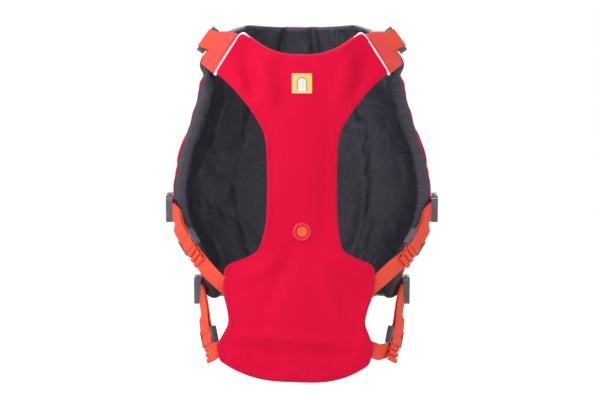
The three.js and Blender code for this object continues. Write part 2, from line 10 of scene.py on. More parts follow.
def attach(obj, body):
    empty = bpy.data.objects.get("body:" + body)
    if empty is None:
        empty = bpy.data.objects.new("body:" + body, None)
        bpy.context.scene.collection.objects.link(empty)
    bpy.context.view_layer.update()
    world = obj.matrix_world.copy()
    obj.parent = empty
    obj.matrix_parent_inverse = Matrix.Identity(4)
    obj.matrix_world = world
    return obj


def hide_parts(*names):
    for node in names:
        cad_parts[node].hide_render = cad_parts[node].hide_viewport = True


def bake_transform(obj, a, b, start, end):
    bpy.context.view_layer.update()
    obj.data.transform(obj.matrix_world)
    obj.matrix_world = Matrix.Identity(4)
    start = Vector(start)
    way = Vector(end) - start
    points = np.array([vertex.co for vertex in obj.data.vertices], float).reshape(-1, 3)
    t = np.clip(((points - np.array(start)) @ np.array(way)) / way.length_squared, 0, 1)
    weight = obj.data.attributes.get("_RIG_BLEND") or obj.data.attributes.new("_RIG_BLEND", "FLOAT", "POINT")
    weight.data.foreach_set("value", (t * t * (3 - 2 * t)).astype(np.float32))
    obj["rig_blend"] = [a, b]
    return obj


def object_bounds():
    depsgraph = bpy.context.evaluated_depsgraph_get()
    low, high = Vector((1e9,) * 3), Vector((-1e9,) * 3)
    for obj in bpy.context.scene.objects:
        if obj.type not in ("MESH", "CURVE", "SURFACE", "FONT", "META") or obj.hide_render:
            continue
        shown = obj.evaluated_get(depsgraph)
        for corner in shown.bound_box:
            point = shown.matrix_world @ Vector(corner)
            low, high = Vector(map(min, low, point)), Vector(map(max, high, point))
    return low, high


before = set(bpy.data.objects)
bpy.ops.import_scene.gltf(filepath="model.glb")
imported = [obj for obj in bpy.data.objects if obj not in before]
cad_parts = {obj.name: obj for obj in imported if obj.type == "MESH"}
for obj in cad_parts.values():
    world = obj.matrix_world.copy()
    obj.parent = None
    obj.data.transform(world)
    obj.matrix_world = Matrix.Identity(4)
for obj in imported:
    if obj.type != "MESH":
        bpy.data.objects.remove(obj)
cad_low, cad_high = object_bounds()

# ---------------------------------------------------------------------------------------------
# Studio. A long lens looks level at the belly panel from a little over two metres, in a white
# room with a pale floor. The main light stands high on the left, with a softer light on each
# side and a broad one behind.
# ---------------------------------------------------------------------------------------------
scene = bpy.context.scene
scene.view_settings.view_transform = "Standard"

PANEL_FACE = -0.101  # the belly panel's outer face on the centre line
VIEW_WIDTH = 0.75  # metres across the picture at the belly panel
VIEW_DISTANCE = 2.2
VIEW_ACROSS, VIEW_UP = -0.0025, 0.0025  # where the lens points, from the middle of the jacket
SENSOR = 36.0

camera_data = bpy.data.cameras.new("lens")
camera_data.sensor_width = SENSOR
camera_data.lens = SENSOR * VIEW_DISTANCE / VIEW_WIDTH
camera = bpy.data.objects.new("camera", camera_data)
camera.location = (VIEW_ACROSS, PANEL_FACE - VIEW_DISTANCE, VIEW_UP)
camera.rotation_euler = (math.radians(90), 0, 0)
scene.collection.objects.link(camera)
scene.camera = camera

room = bpy.data.worlds.new("white_room")
room.use_nodes = True
room.node_tree.nodes["Background"].inputs["Color"].default_value = (1, 1, 1, 1)
room.node_tree.nodes["Background"].inputs["Strength"].default_value = 1.0
scene.world = room


def soft_light(name, place, size, power):
    """A round light that points at the middle of the jacket."""
    data = bpy.data.lights.new(name, "AREA")
    data.shape = "DISK"
    data.size = size
    data.energy = power
    lamp = bpy.data.objects.new(name, data)
    lamp.location = place
    lamp.rotation_euler = (-Vector(place)).to_track_quat("-Z", "Y").to_euler()
    scene.collection.objects.link(lamp)


soft_light("key_light", (-0.85, -0.85, 1.15), 0.7, 14)
soft_light("left_fill", (-2.1, -1.3, 0.5), 1.0, 6)
soft_light("right_fill", (2.1, -1.3, 0.5), 1.0, 3)
soft_light("back_light", (0.3, 2.2, 1.6), 1.4, 16)


def new_material(name, colour, roughness, **sockets):
    """A material with its plain values on the shader's own sockets."""
    made = bpy.data.materials.new(name)
    made.use_nodes = True
    shader = made.node_tree.nodes["Principled BSDF"]
    shader.inputs["Base Color"].default_value = (*colour, 1)
    shader.inputs["Roughness"].default_value = roughness
    for socket, value in sockets.items():
        shader.inputs[socket.replace("_", " ")].default_value = value
    return made


def link_object(name, mesh, material=None):
    made = bpy.data.objects.new(name, mesh)
    scene.collection.objects.link(made)
    if material is not None:
        mesh.materials.append(material)
    return made


FLOOR_REACH = 30
FLOOR_DROP = 0.05
floor_level = cad_low.z - FLOOR_DROP
floor_corners = [(FLOOR_REACH * x, FLOOR_REACH * y) for x, y in ((-1, -1), (1, -1), (1, 1), (-1, 1))]
floor_mesh = bpy.data.meshes.new("floor")
floor_mesh.from_pydata([(x, y, floor_level) for x, y in floor_corners], [], [(0, 1, 2, 3)])
pale_floor = new_material(
    "pale_floor", (0.92, 0.92, 0.92), 1.0,
    Specular_IOR_Level=0.0, Emission_Color=(1, 1, 1, 1), Emission_Strength=0.1,
)
floor = link_object("floor", floor_mesh, pale_floor)

# ---------------------------------------------------------------------------------------------
# Saddle pad. Foam slabs sewn between a red outer cloth and a charcoal lining wrap the dog's back
# and flanks, with stitched channels where the pad folds. The whole pad is one closed form, blown
# up as cloth against its seams, and then parted into the outer cloth and the lining.
# ---------------------------------------------------------------------------------------------
MM = 0.001
PAD = 17 * MM
SADDLE_WIDTH = [
    (-224, 100), (-124, 106), (-77, 120), (-7, 147.5), (56, 144), (108, 127),
    (150, 116), (183, 115), (197, 107.5), (213, 96), (228, 85), (240, 77),
]
SADDLE_DEPTH = [(-224, 84), (-124, 92), (-50, 96), (130, 96), (190, 90), (240, 74)]
WRAP_DEGREES = 97  # from the spine to the pad's front edge on each side
SADDLE_WRAP = math.radians(WRAP_DEGREES)
SADDLE_TOP, SHOULDER_DROP = 238, 17
HEM, RUMP_DROP, RUMP_SHARE = -124, 58, 0.64
COLLAR_LINE = 0.845
SPINE_SEAM = 0.34


def along(pairs, place):
    """A smooth curve through (place, size) pairs, read at an array of places."""
    xs, ys = np.array(pairs, float).T
    slopes = np.empty(len(xs))
    slopes[1:-1] = (ys[2:] - ys[:-2]) / (xs[2:] - xs[:-2])
    slopes[0] = (ys[1] - ys[0]) / (xs[1] - xs[0])
    slopes[-1] = (ys[-1] - ys[-2]) / (xs[-1] - xs[-2])
    i = np.clip(np.searchsorted(xs, place, side="left") - 1, 0, len(xs) - 2)
    span = xs[i + 1] - xs[i]
    t = np.clip((place - xs[i]) / span, 0, 1)
    bend = (1 - t) ** 2 * t * slopes[i] * span - t * t * (1 - t) * slopes[i + 1] * span
    return ys[i] + (ys[i + 1] - ys[i]) * t * t * (3 - 2 * t) + bend


def smoothstep(x, low, high):
    t = np.clip((x - low) / (high - low), 0, 1)
    return t * t * (3 - 2 * t)


def saddle_height(u, v):
    """The height of a place on the saddle: u across the wrap, and v from the hem to the collar."""
    share = np.minimum(np.abs(u) / RUMP_SHARE, 1)
    low = HEM - RUMP_DROP * (1 - share**2) ** 2
    high = SADDLE_TOP - SHOULDER_DROP * smoothstep(np.abs(u), 0.5, 1)
    return low + (high - low) * v


def saddle_place(u, v, out):
    """Places on the saddle: u across the wrap, v from hem to collar, out from the lining's face."""
    z = saddle_height(u, v)
    angle = u * SADDLE_WRAP
    x = (along(SADDLE_WIDTH, z) + out / MM) * np.sin(angle)
    y = (along(SADDLE_DEPTH, z) + out / MM) * np.cos(angle)
    return np.stack([x, y, z], -1) * MM


def spaced(low, high, length, step, rim):
    """Places from low to high: tight near both ends, for the rounded rims, and even between."""
    edge = np.array([0, 0.06, 0.2, 0.42, 0.7, 1.0]) * rim / length
    count = max(2, round((1 - 2 * edge[-1]) * length / step))
    middle = np.linspace(edge[-1], 1 - edge[-1], count + 1)[1:-1]
    return low + (high - low) * np.concatenate([edge, middle, 1 - edge[::-1]])


RIM_POWER = 2.7  # 2 would be a round rim, and more is squarer


def rim_profile(distance, radius):
    """How full a pad is near its rim, from 0 at the rim to 1 a radius in."""
    return (1 - (1 - np.clip(distance / radius, 0, 1)) ** RIM_POWER) ** (1 / RIM_POWER)


def closed_sheets(rows, columns):
    """The faces of two grids, back to back, that share their rims, and which vertices they use."""
    count = rows * columns
    index = np.arange(count).reshape(rows, columns)
    a, b, c, d = index[:-1, :-1], index[:-1, 1:], index[1:, 1:], index[1:, :-1]
    inside = np.stack([a.ravel(), b.ravel(), c.ravel(), d.ravel()], 1)
    outside = inside[:, ::-1] + count
    on_rim = np.ones((rows, columns), bool)
    on_rim[1:-1, 1:-1] = False
    shared = index[on_rim]
    joined = np.arange(2 * count)
    joined[shared + count] = shared
    faces = joined[np.concatenate([inside, outside])]
    used = np.unique(faces)
    renumber = np.full(2 * count, -1)
    renumber[used] = np.arange(len(used))
    return renumber[faces], used


def pad_mesh(name, place, us, vs, seams, thick, rim, drape=None, over=None):
    """A closed pad between two sheets that meet in a rounded rim, thinned along its seams.
    drape raises the outer sheet, and over moves the join of the two cloths across the rim.
    The mesh keeps where each vertex is on the cloth, its rim distance and seam depth."""
    u, v = np.meshgrid(us, vs)
    flat = place(u, v, np.full(u.shape, thick / 2))
    across = np.linalg.norm(np.diff(flat, axis=1), axis=2)
    up = np.linalg.norm(np.diff(flat, axis=0), axis=2)
    run_u = np.concatenate([np.zeros((len(vs), 1)), np.cumsum(across, 1)], 1)
    run_v = np.concatenate([np.zeros((1, len(us))), np.cumsum(up, 0)], 0)
    side_gap = np.minimum(run_u, run_u[:, -1:] - run_u)
    end_gap = np.minimum(run_v, run_v[-1:, :] - run_v)
    seam = seams(u, v, run_u, run_v)
    half = thick / 2 * rim_profile(side_gap, rim) * rim_profile(end_gap, rim) * (1 - seam)
    inner = place(u, v, thick / 2 - half)
    lift = 0 if drape is None else drape(place(u, v, np.full(u.shape, thick))) * 2 * half / thick
    outer = place(u, v, thick / 2 + half + lift)
    facts = {
        "join": np.minimum(side_gap, end_gap if over is None else end_gap + over(u, v)),
        "rim": np.minimum(side_gap, end_gap),
        "seam": seam,
        "cloth_u": run_u - run_u[:, -1:] / 2,
        "cloth_v": run_v,
    }
    faces, used = closed_sheets(*u.shape)
    points = np.concatenate([inner.reshape(-1, 3), outer.reshape(-1, 3)])[used]
    mesh = bpy.data.meshes.new(name)
    mesh.from_pydata(points.tolist(), [], faces.tolist())
    for fact, values in facts.items():
        on_both = np.concatenate([values.ravel(), values.ravel()])[used]
        mesh.attributes.new(fact, "FLOAT", "POINT").data.foreach_set("value", on_both.astype(np.float32))
    outer_face = np.repeat([0, 1], len(faces) // 2).astype(np.float32)
    mesh.attributes.new("outer_face", "FLOAT", "FACE").data.foreach_set("value", outer_face)
    return mesh


def read_points(mesh):
    flat = np.empty(len(mesh.vertices) * 3, np.float32)
    mesh.vertices.foreach_get("co", flat)
    return flat.reshape(-1, 3).astype(float)


def read_fact(mesh, fact):
    layer = mesh.attributes[fact]
    values = np.empty(len(layer.data), np.float32)
    layer.data.foreach_get("value", values)
    return values


def write_points(mesh, points):
    mesh.vertices.foreach_set("co", points.astype(np.float32).ravel())
    mesh.update()


SETTLE_FRAMES = 20


def settle(piece, pinned, pressure, slack, cap):
    """Blows a closed pad up as cloth, with its seams held, and caps how far any point moves."""
    mesh = piece.data
    rest = read_points(mesh)
    held = piece.vertex_groups.new(name="held")
    for i, weight in enumerate(pinned):
        if weight > 0:
            held.add([i], float(weight), "REPLACE")
    sim = piece.modifiers.new("settle", "CLOTH")
    sim.settings.quality = 5
    sim.settings.mass = 0.2
    sim.settings.tension_stiffness = 12
    sim.settings.compression_stiffness = 12
    sim.settings.shear_stiffness = 4
    sim.settings.bending_stiffness = 0.12
    sim.settings.use_pressure = True
    sim.settings.uniform_pressure_force = pressure
    sim.settings.shrink_min = -slack
    sim.settings.effector_weights.gravity = 0
    sim.settings.vertex_group_mass = "held"
    sim.collision_settings.use_collision = False
    sim.point_cache.frame_start = 1
    sim.point_cache.frame_end = SETTLE_FRAMES
    for step in range(1, SETTLE_FRAMES + 1):
        scene.frame_set(step)
    settled = piece.evaluated_get(bpy.context.evaluated_depsgraph_get())
    moved = read_points(settled.data) - rest
    reach = np.linalg.norm(moved, axis=1, keepdims=True)
    limit = np.minimum(reach, cap * np.tanh(reach / cap)) / np.maximum(reach, 1e-9)
    piece.modifiers.remove(sim)
    piece.vertex_groups.remove(held)
    scene.frame_set(1)
    write_points(mesh, rest + moved * limit)


def part_cloth(pad, name, keep, wall, proud):
    """The faces of a pad that keep() picks, as a piece of cloth with a wall, fine and smooth."""
    mesh = pad.data.copy()
    mesh.name = name
    piece = link_object(name, mesh)
    body = bmesh.new()
    body.from_mesh(mesh)
    outer = body.faces.layers.float["outer_face"]
    join = body.verts.layers.float["join"]
    gone = []
    for face in body.faces:
        gap = sum(vertex[join] for vertex in face.verts) / len(face.verts)
        if not keep(face[outer] > 0.5, gap):
            gone.append(face)
    bmesh.ops.delete(body, geom=gone, context="FACES")
    body.to_mesh(mesh)
    body.free()
    finer = piece.modifiers.new("finer", "SUBSURF")
    finer.levels = finer.render_levels = 1
    wall_maker = piece.modifiers.new("wall", "SOLIDIFY")
    wall_maker.thickness = wall
    wall_maker.offset = proud
    apply_modifiers(piece)
    return piece


def apply_modifiers(piece):
    """Turns a piece into the plain mesh that its modifiers make, shaded smooth."""
    bpy.context.view_layer.update()
    graph = bpy.context.evaluated_depsgraph_get()
    made = bpy.data.meshes.new_from_object(
        piece.evaluated_get(graph), preserve_all_data_layers=True, depsgraph=graph
    )
    made.name = piece.name
    piece.modifiers.clear()
    piece.data = made
    made.polygons.foreach_set("use_smooth", [True] * len(made.polygons))


def cloth_uv(piece):
    """Writes the place on the cloth, in metres, as the piece's UV map."""
    mesh = piece.data
    u, v = read_fact(mesh, "cloth_u"), read_fact(mesh, "cloth_v")
    corners = np.empty(len(mesh.loops), np.int32)
    mesh.loops.foreach_get("vertex_index", corners)
    uv = mesh.uv_layers.new(name="cloth")
    uv.data.foreach_set("uv", np.stack([u[corners], v[corners]], 1).astype(np.float32).ravel())


def groove(distance, width, depth):
    """How deep a seam pulls the pad in, at a distance from its line, as a share of the padding."""
    return depth * np.exp(-((distance / width) ** 2))


COLLAR_FOLDS = (-0.16, 0.1, -0.6, 0.55)  # places across the wrap
COLLAR_PEEK = 0.2  # share of the wrap over which the outer cloth comes over the collar's edge


def saddle_seams(u, v, run_u, run_v):
    """How far the pad thins: down the two flank folds, along the collar, and in the collar."""
    above_collar = v - COLLAR_LINE
    depth = groove(np.abs(above_collar) * run_v[-1:, :], 0.006, 0.6)
    flank_folds = (-SPINE_SEAM, SPINE_SEAM)
    for lines, width, full, side in ((flank_folds, 0.006, 0.62, -1), (COLLAR_FOLDS, 0.0044, 0.97, 1)):
        for line in lines:
            fold = groove(np.abs(u - line) / 2 * run_u[:, -1:], width, full)
            depth = np.maximum(depth, fold * smoothstep(side * above_collar, -0.02, 0.02))
    return depth


def collar_peek(u, v):
    """How far the outer cloth's edge moves over the rim, in metres, at the middle of the collar."""
    return 0.006 * smoothstep(v, 0.9, 0.95) * smoothstep(COLLAR_PEEK - np.abs(u), 0, 0.05)


SADDLE_STEP = 0.0052
saddle_mesh = pad_mesh(
    "saddle_pad", saddle_place,
    spaced(-1, 1, 0.43, SADDLE_STEP, PAD / 2), spaced(0, 1, 0.36, SADDLE_STEP, PAD / 2),
    saddle_seams, PAD, PAD / 2, over=collar_peek,
)
saddle_pad = link_object("saddle_pad", saddle_mesh)
seam_hold = np.clip(read_fact(saddle_mesh, "seam") * 2.2 - 0.5, 0, 1)
rim_hold = 1 - smoothstep(read_fact(saddle_mesh, "rim"), 0.001, 0.006)
settle(saddle_pad, np.maximum(seam_hold, rim_hold), pressure=3.3, slack=0.04, cap=2.7 * MM)

WALL = 0.9 * MM
JOIN = 0.0045  # the lining wraps the rim and meets the outer cloth this far round it
saddle_cover = part_cloth(saddle_pad, "saddle_cover", lambda outer, gap: outer and gap > JOIN, WALL, -0.2)
saddle_lining = part_cloth(
    saddle_pad, "saddle_lining_cloth", lambda outer, gap: not outer or gap <= JOIN, WALL, -1
)
bpy.data.objects.remove(saddle_pad)
for piece in (saddle_cover, saddle_lining):
    cloth_uv(piece)
    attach(piece, "saddle")
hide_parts("saddle_shell", "flank_foam_left", "flank_foam_right", "spine_foam")
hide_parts("saddle_lining", "collar_foam_left", "collar_foam_right", "collar_foam_center")


# Cloth materials. The red cloth is a tight matt weave; the lining is smoother, with a sheen and a
# tone-on-tone print of wandering contour lines.
def new_group(name, inputs, outputs):
    group = bpy.data.node_groups.new(name, "ShaderNodeTree")
    for label, kind, default in inputs:
        socket = group.interface.new_socket(label, in_out="INPUT", socket_type=kind)
        if default is not None:
            socket.default_value = default
    for label, kind in outputs:
        group.interface.new_socket(label, in_out="OUTPUT", socket_type=kind)
    start = group.nodes.new("NodeGroupInput")
    end = group.nodes.new("NodeGroupOutput")
    return group, start, end


def node(tree, kind, links=(), **settings):
    """A node with its settings and input links or values given together."""
    made = tree.nodes.new(kind)
    for setting, value in settings.items():
        setattr(made, setting, value)
    for socket, source in dict(links).items():
        if isinstance(source, bpy.types.NodeSocket):
            tree.links.new(source, made.inputs[socket])
        else:
            made.inputs[socket].default_value = source
    return made


def maths(tree, operation, *values):
    """The result of a maths node on one or two values."""
    return node(tree, "ShaderNodeMath", dict(enumerate(values)), operation=operation).outputs[0]


def remapped(tree, value, limits):
    """A value moved from one range to another, with the ranges' ends given by their names."""
    return node(tree, "ShaderNodeMapRange", {"Value": value, **limits}).outputs[0]


def bands(tree, place, scale, direction):
    """Soft parallel bands, such as threads or ribs lying side by side."""
    links = {"Vector": place, "Scale": scale}
    return node(tree, "ShaderNodeTexWave", links, wave_type="BANDS", bands_direction=direction).outputs["Fac"]


def weave_group():
    """Over-and-under threads on the cloth's own coordinates: Height for a bump, Shade for colour."""
    group, start, end = new_group(
        "thread_weave",
        [("Vector", "NodeSocketVector", None), ("Threads per metre", "NodeSocketFloat", 1400.0)],
        [("Height", "NodeSocketFloat"), ("Shade", "NodeSocketFloat")],
    )
    scaled = node(group, "ShaderNodeVectorMath", {0: start.outputs["Vector"]}, operation="SCALE")
    group.links.new(start.outputs["Threads per metre"], scaled.inputs["Scale"])
    warp = bands(group, scaled.outputs[0], 1.0, "X")
    weft = bands(group, scaled.outputs[0], 1.0, "Y")
    crossing = maths(group, "MAXIMUM", warp, weft)
    slub = node(group, "ShaderNodeTexNoise", {
        "Vector": start.outputs["Vector"], "Scale": 260.0, "Detail": 3.0})
    shade = maths(group, "MULTIPLY", crossing, slub.outputs["Fac"])
    group.links.new(crossing, end.inputs["Height"])
    group.links.new(shade, end.inputs["Shade"])
    return group


def contour_group():
    """Wandering contour lines, like a map's, on the cloth's own coordinates."""
    group, start, end = new_group(
        "contour_print",
        [("Vector", "NodeSocketVector", None), ("Lines", "NodeSocketFloat", 14.0)],
        [("Line", "NodeSocketFloat")],
    )
    hills = node(group, "ShaderNodeTexNoise", {
        "Vector": start.outputs["Vector"], "Scale": 11.0, "Detail": 1.4, "Distortion": 0.6})
    levels = maths(group, "MULTIPLY", hills.outputs["Fac"], start.outputs["Lines"])
    saw = maths(group, "PINGPONG", levels, 0.5)
    line = remapped(group, saw, {"From Min": 0.05, "From Max": 0.13, "To Min": 1.0, "To Max": 0.0})
    group.links.new(line, end.inputs["Line"])
    return group


def use_group(tree, group, links):
    return node(tree, "ShaderNodeGroup", links, node_tree=group)


def mixed(tree, factor, first, second):
    """Two colours mixed by a factor; each may be a socket or a plain colour."""
    links = {0: factor}
    for index, source in ((6, first), (7, second)):
        links[index] = source if isinstance(source, bpy.types.NodeSocket) else (*source, 1)
    return node(tree, "ShaderNodeMix", links, data_type="RGBA").outputs[2]


def drift_group():
    """A slow drift between a light tone and a dark one, as dye takes unevenly."""
    group, start, end = new_group(
        "tone_drift",
        [("Vector", "NodeSocketVector", None), ("Scale", "NodeSocketFloat", 45.0),
         ("Detail", "NodeSocketFloat", 3.0), ("Light", "NodeSocketColor", None),
         ("Dark", "NodeSocketColor", None)],
        [("Tone", "NodeSocketColor")],
    )
    clouds = node(group, "ShaderNodeTexNoise", {
        label: start.outputs[label] for label in ("Vector", "Scale", "Detail")})
    tone = mixed(group, clouds.outputs["Fac"], start.outputs["Light"], start.outputs["Dark"])
    group.links.new(tone, end.inputs["Tone"])
    return group


THREAD_WEAVE = weave_group()
CONTOUR_PRINT = contour_group()
TONE_DRIFT = drift_group()


def drifting(tree, place, scale, detail, light, dark):
    return use_group(tree, TONE_DRIFT, {
        "Vector": place, "Scale": scale, "Detail": detail, "Light": (*light, 1), "Dark": (*dark, 1),
    }).outputs["Tone"]


def darker(colour, share):
    return tuple(c * share for c in colour)


def bump(tree, height, strength, distance, normal=None):
    """A bump from a height, on top of another bump's normal if one is given."""
    links = {"Height": height, "Strength": strength, "Distance": distance}
    if normal is not None:
        links["Normal"] = normal
    return node(tree, "ShaderNodeBump", links).outputs["Normal"]


def object_place(tree):
    return node(tree, "ShaderNodeTexCoord").outputs["Object"]


def cloth_place(tree):
    return node(tree, "ShaderNodeUVMap", uv_map="cloth").outputs["UV"]


def cloth_material(name, base, light, dark, roughness, weave, gloss, contour=None):
    """Woven cloth: threads, a slow drift of tone, soft creases and, if given, a contour print."""
    made = new_material(name, base, roughness, Specular_IOR_Level=gloss)
    tree = made.node_tree
    shader = tree.nodes["Principled BSDF"]
    uv = cloth_place(tree)
    place = object_place(tree)
    threads = use_group(tree, THREAD_WEAVE, {"Vector": uv, "Threads per metre": weave})
    tone = drifting(tree, place, 7.0, 2.0, light, dark)
    tone = mixed(tree, threads.outputs["Shade"], tone, darker(base, 0.86))
    if contour:
        line = use_group(tree, CONTOUR_PRINT, {"Vector": uv, "Lines": 15.0}).outputs["Line"]
        tone = mixed(tree, line, tone, contour)
        rough = remapped(tree, line, {"To Min": roughness, "To Max": roughness + 0.2})
        tree.links.new(rough, shader.inputs["Roughness"])
    tree.links.new(tone, shader.inputs["Base Color"])
    crease = node(tree, "ShaderNodeTexNoise", {
        "Vector": place, "Scale": 34.0, "Detail": 5.0, "Roughness": 0.6, "Distortion": 0.8})
    soft = bump(tree, crease.outputs["Fac"], 0.16, 0.004)
    fine = bump(tree, threads.outputs["Height"], 0.35, 0.00015, soft)
    tree.links.new(fine, shader.inputs["Normal"])
    return made


red_cloth = cloth_material(
    "red_cloth", (0.585, 0.002, 0.034), (0.62, 0.003, 0.038), (0.47, 0.001, 0.028), 0.74, 520.0, gloss=0.07
)
lining_cloth = cloth_material(
    "lining_cloth", (0.029, 0.028, 0.042), (0.034, 0.033, 0.048), (0.023, 0.023, 0.035), 0.42, 600.0,
    gloss=0.4, contour=(0.042, 0.041, 0.060),
)
saddle_cover.data.materials.append(red_cloth)
saddle_lining.data.materials.append(lining_cloth)

# ---------------------------------------------------------------------------------------------
# Belly panel. A padded panel, wide at the chest and belly and narrow between the front legs, cut
# from the same red cloth; its lining shows only on the dog's side.
# ---------------------------------------------------------------------------------------------
PANEL_OUTLINE = [
    (-198, 96), (-189, 99), (-178, 101), (-166, 95), (-152, 89), (-136, 91), (-114, 97.5),
    (-86, 98), (-77, 91), (-70, 72), (-61, 56.5), (-44, 49.5), (-15, 45.5), (45, 45),
    (86, 49), (110, 62), (131, 78), (149, 94), (163, 109),
]
PANEL_DEPTH = [(-224, 70), (-150, 79), (-50, 84), (80, 84), (160, 76), (220, 64)]
PANEL_CURVE = 150
CHEST_END = 66
PANEL_HEM_SAG = 25.5
NECKLINE, SHOULDER_RISE, SHOULDER_SHARE = 187, 28.5, 0.68
PANEL_LEAN, PANEL_WAIST = 0.055, -24  # sideways hang, for each millimetre below the waist's height
HEM_HANG, HEM_TILT = 2.4, 5.5  # how much lower the hem hangs, and how much more on one side
DRAWN_OUT, DRAWN_UP = 4.4, 2.2  # the shoulders' cloth drawn up to the piping


def panel_lean(z):
    return -PANEL_LEAN * np.maximum(0, PANEL_WAIST - z)


def panel_place(s, v, out):
    """Places on the belly panel: s across it, v from hem to shoulders, out from its lining."""
    low_edge, high_edge = PANEL_OUTLINE[0][0], PANEL_OUTLINE[-1][0]
    half = along(PANEL_OUTLINE, low_edge + (high_edge - low_edge) * v)
    low = low_edge - PANEL_HEM_SAG * (1 - np.abs(s) ** 2.6)
    reach = np.abs(s) / SHOULDER_SHARE
    fall = (np.abs(s) - SHOULDER_SHARE) / (1 - SHOULDER_SHARE)
    peak = NECKLINE + SHOULDER_RISE
    high = np.where(reach < 1, NECKLINE + SHOULDER_RISE * reach**2.4, peak - (peak - high_edge) * fall)
    z = low + (high - low) * v
    z = z - (HEM_HANG + HEM_TILT * smoothstep(s, -0.1, 0.9)) * (1 - smoothstep(v, 0, 0.12))
    drawn = smoothstep(v, 0.93, 1) * smoothstep(np.abs(s), 0.54, 0.7)
    x = s * half + np.sign(s) * DRAWN_OUT * drawn + panel_lean(z)
    return panel_point(x, z + DRAWN_UP * drawn, out)


def panel_point(x, z, out):
    """The panel's curved face, by how far across and up it is, in millimetres."""
    angle = np.arcsin(np.clip(x / (PANEL_CURVE + PAD / MM), -1, 1))
    px = (PANEL_CURVE + out / MM) * np.sin(angle)
    py = -(along(PANEL_DEPTH, z) + out / MM) * np.cos(angle)
    return np.stack([px, py, z], -1) * MM


def panel_seams(s, v, run_u, run_v):
    """One soft fold where the chest foam ends and the belly foam begins."""
    z = panel_place(s, v, np.full(s.shape, PAD))[..., 2] / MM
    return groove((z - CHEST_END) * MM, 0.012, 0.1)


def fold_along(points, start, end, width, height):
    """A soft fold's height over the panel, along a line from start to end, in millimetres."""
    x, z = points[..., 0] / MM, points[..., 2] / MM
    (x0, z0), (x1, z1) = start, end
    length = math.hypot(x1 - x0, z1 - z0)
    run = ((x - x0) * (x1 - x0) + (z - z0) * (z1 - z0)) / length
    aside = ((x - x0) * (z1 - z0) - (z - z0) * (x1 - x0)) / length
    fade_in = smoothstep(run, -0.35 * length, 0.25 * length)
    fade_out = 1 - smoothstep(run, 0.75 * length, 1.35 * length)
    return height * np.exp(-((aside / width) ** 2)) * (fade_in * fade_out)


PANEL_FOLDS = [  # each from a place to a place, with its width and its height
    ((-74, 193), (-61, 140), 8, -3.8), ((-92, 176), (-74, 144), 9, 2.6), ((-52, 178), (-40, 122), 10, 2.4),
    ((84, 186), (66, 138), 9, -3.2), ((60, 182), (48, 130), 9, 2.4), ((-26, 182), (-20, 120), 12, -1.6),
    ((-30, 100), (-24, 10), 11, 1.1), ((32, 90), (26, -30), 10, -1.1), ((-88, -74), (-52, -58), 5, -2.2),
    ((90, -74), (54, -58), 5, -2.2), ((-74, -96), (-30, -72), 8, 2.4), ((76, -92), (34, -66), 8, 2.2),
    ((-74, -182), (50, -190), 8, -2.8), ((-66, -166), (58, -176), 8, 2.2),
    ((-44, -130), (-14, -60), 10, -2.0), ((48, -150), (24, -80), 10, 2.0),
]
FOLDS_AGAIN = 0.7  # how much of the folds is pressed in again after the cloth has settled


def panel_drape(points):
    """How far the outer cloth stands off the padding, in metres: slow waves and the folds."""
    x, z = points[..., 0] / MM, points[..., 2] / MM
    slow = 0.8 * np.sin(x / 17 + z / 41) + 0.7 * np.sin(z / 23 - x / 31)
    return (slow + sum(fold_along(points, *fold) for fold in PANEL_FOLDS)) * MM


panel_mesh = pad_mesh(
    "belly_pad", panel_place, spaced(-1, 1, 0.15, 0.0036, PAD / 2), spaced(0, 1, 0.40, 0.0040, PAD / 2),
    panel_seams, PAD, PAD / 2, drape=panel_drape,
)
belly_pad = link_object("belly_pad", panel_mesh)
rim_hold = 1 - smoothstep(read_fact(panel_mesh, "rim"), 0.001, 0.008)
settle(belly_pad, rim_hold, pressure=2.2, slack=0.02, cap=2.0 * MM)
creased = read_points(panel_mesh)
creased[:, 1] -= FOLDS_AGAIN * panel_drape(creased) * (1 - rim_hold)
write_points(panel_mesh, creased)
belly_cover = part_cloth(belly_pad, "belly_cover", lambda outer, gap: outer or gap < JOIN, WALL, -0.2)
belly_lining = part_cloth(
    belly_pad, "belly_lining_cloth", lambda outer, gap: not outer and gap >= JOIN, WALL, -1
)
bpy.data.objects.remove(belly_pad)
for piece in (belly_cover, belly_lining):
    cloth_uv(piece)
    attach(piece, "belly_panel")
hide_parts("belly_shell", "chest_foam", "belly_foam")
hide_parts("belly_lining")
belly_cover.data.materials.append(red_cloth)
belly_lining.data.materials.append(lining_cloth)

# ---------------------------------------------------------------------------------------------
# Hard fittings. The side-release buckles and tri-glides are moulded in dark grey nylon, with
# softened edges; the leash ring is bent from steel wire.
# ---------------------------------------------------------------------------------------------
def mould_group():
    """The fine grain of a moulding, and the patches of it that handling has worn."""
    group, start, end = new_group(
        "moulded_surface", [("Vector", "NodeSocketVector", None)],
        [("Grain", "NodeSocketFloat"), ("Wear", "NodeSocketFloat")],
    )
    for output, scale, detail in (("Grain", 900.0, 2.0), ("Wear", 60.0, 4.0)):
        noise = node(group, "ShaderNodeTexNoise", {
            "Vector": start.outputs["Vector"], "Scale": scale, "Detail": detail})
        group.links.new(noise.outputs["Fac"], end.inputs[output])
    return group


MOULDED_SURFACE = mould_group()


def moulded_material(name, base, roughness):
    """Moulded nylon or rubber: a fine grain, and patches that are worn smoother."""
    made = new_material(name, base, roughness, Specular_IOR_Level=0.4)
    tree = made.node_tree
    surface = use_group(tree, MOULDED_SURFACE, {"Vector": object_place(tree)}).outputs
    rough = remapped(tree, surface["Wear"], {"To Min": roughness - 0.08, "To Max": roughness + 0.1})
    shader = tree.nodes["Principled BSDF"]
    tree.links.new(rough, shader.inputs["Roughness"])
    tree.links.new(bump(tree, surface["Grain"], 0.2, 0.0001), shader.inputs["Normal"])
    return made


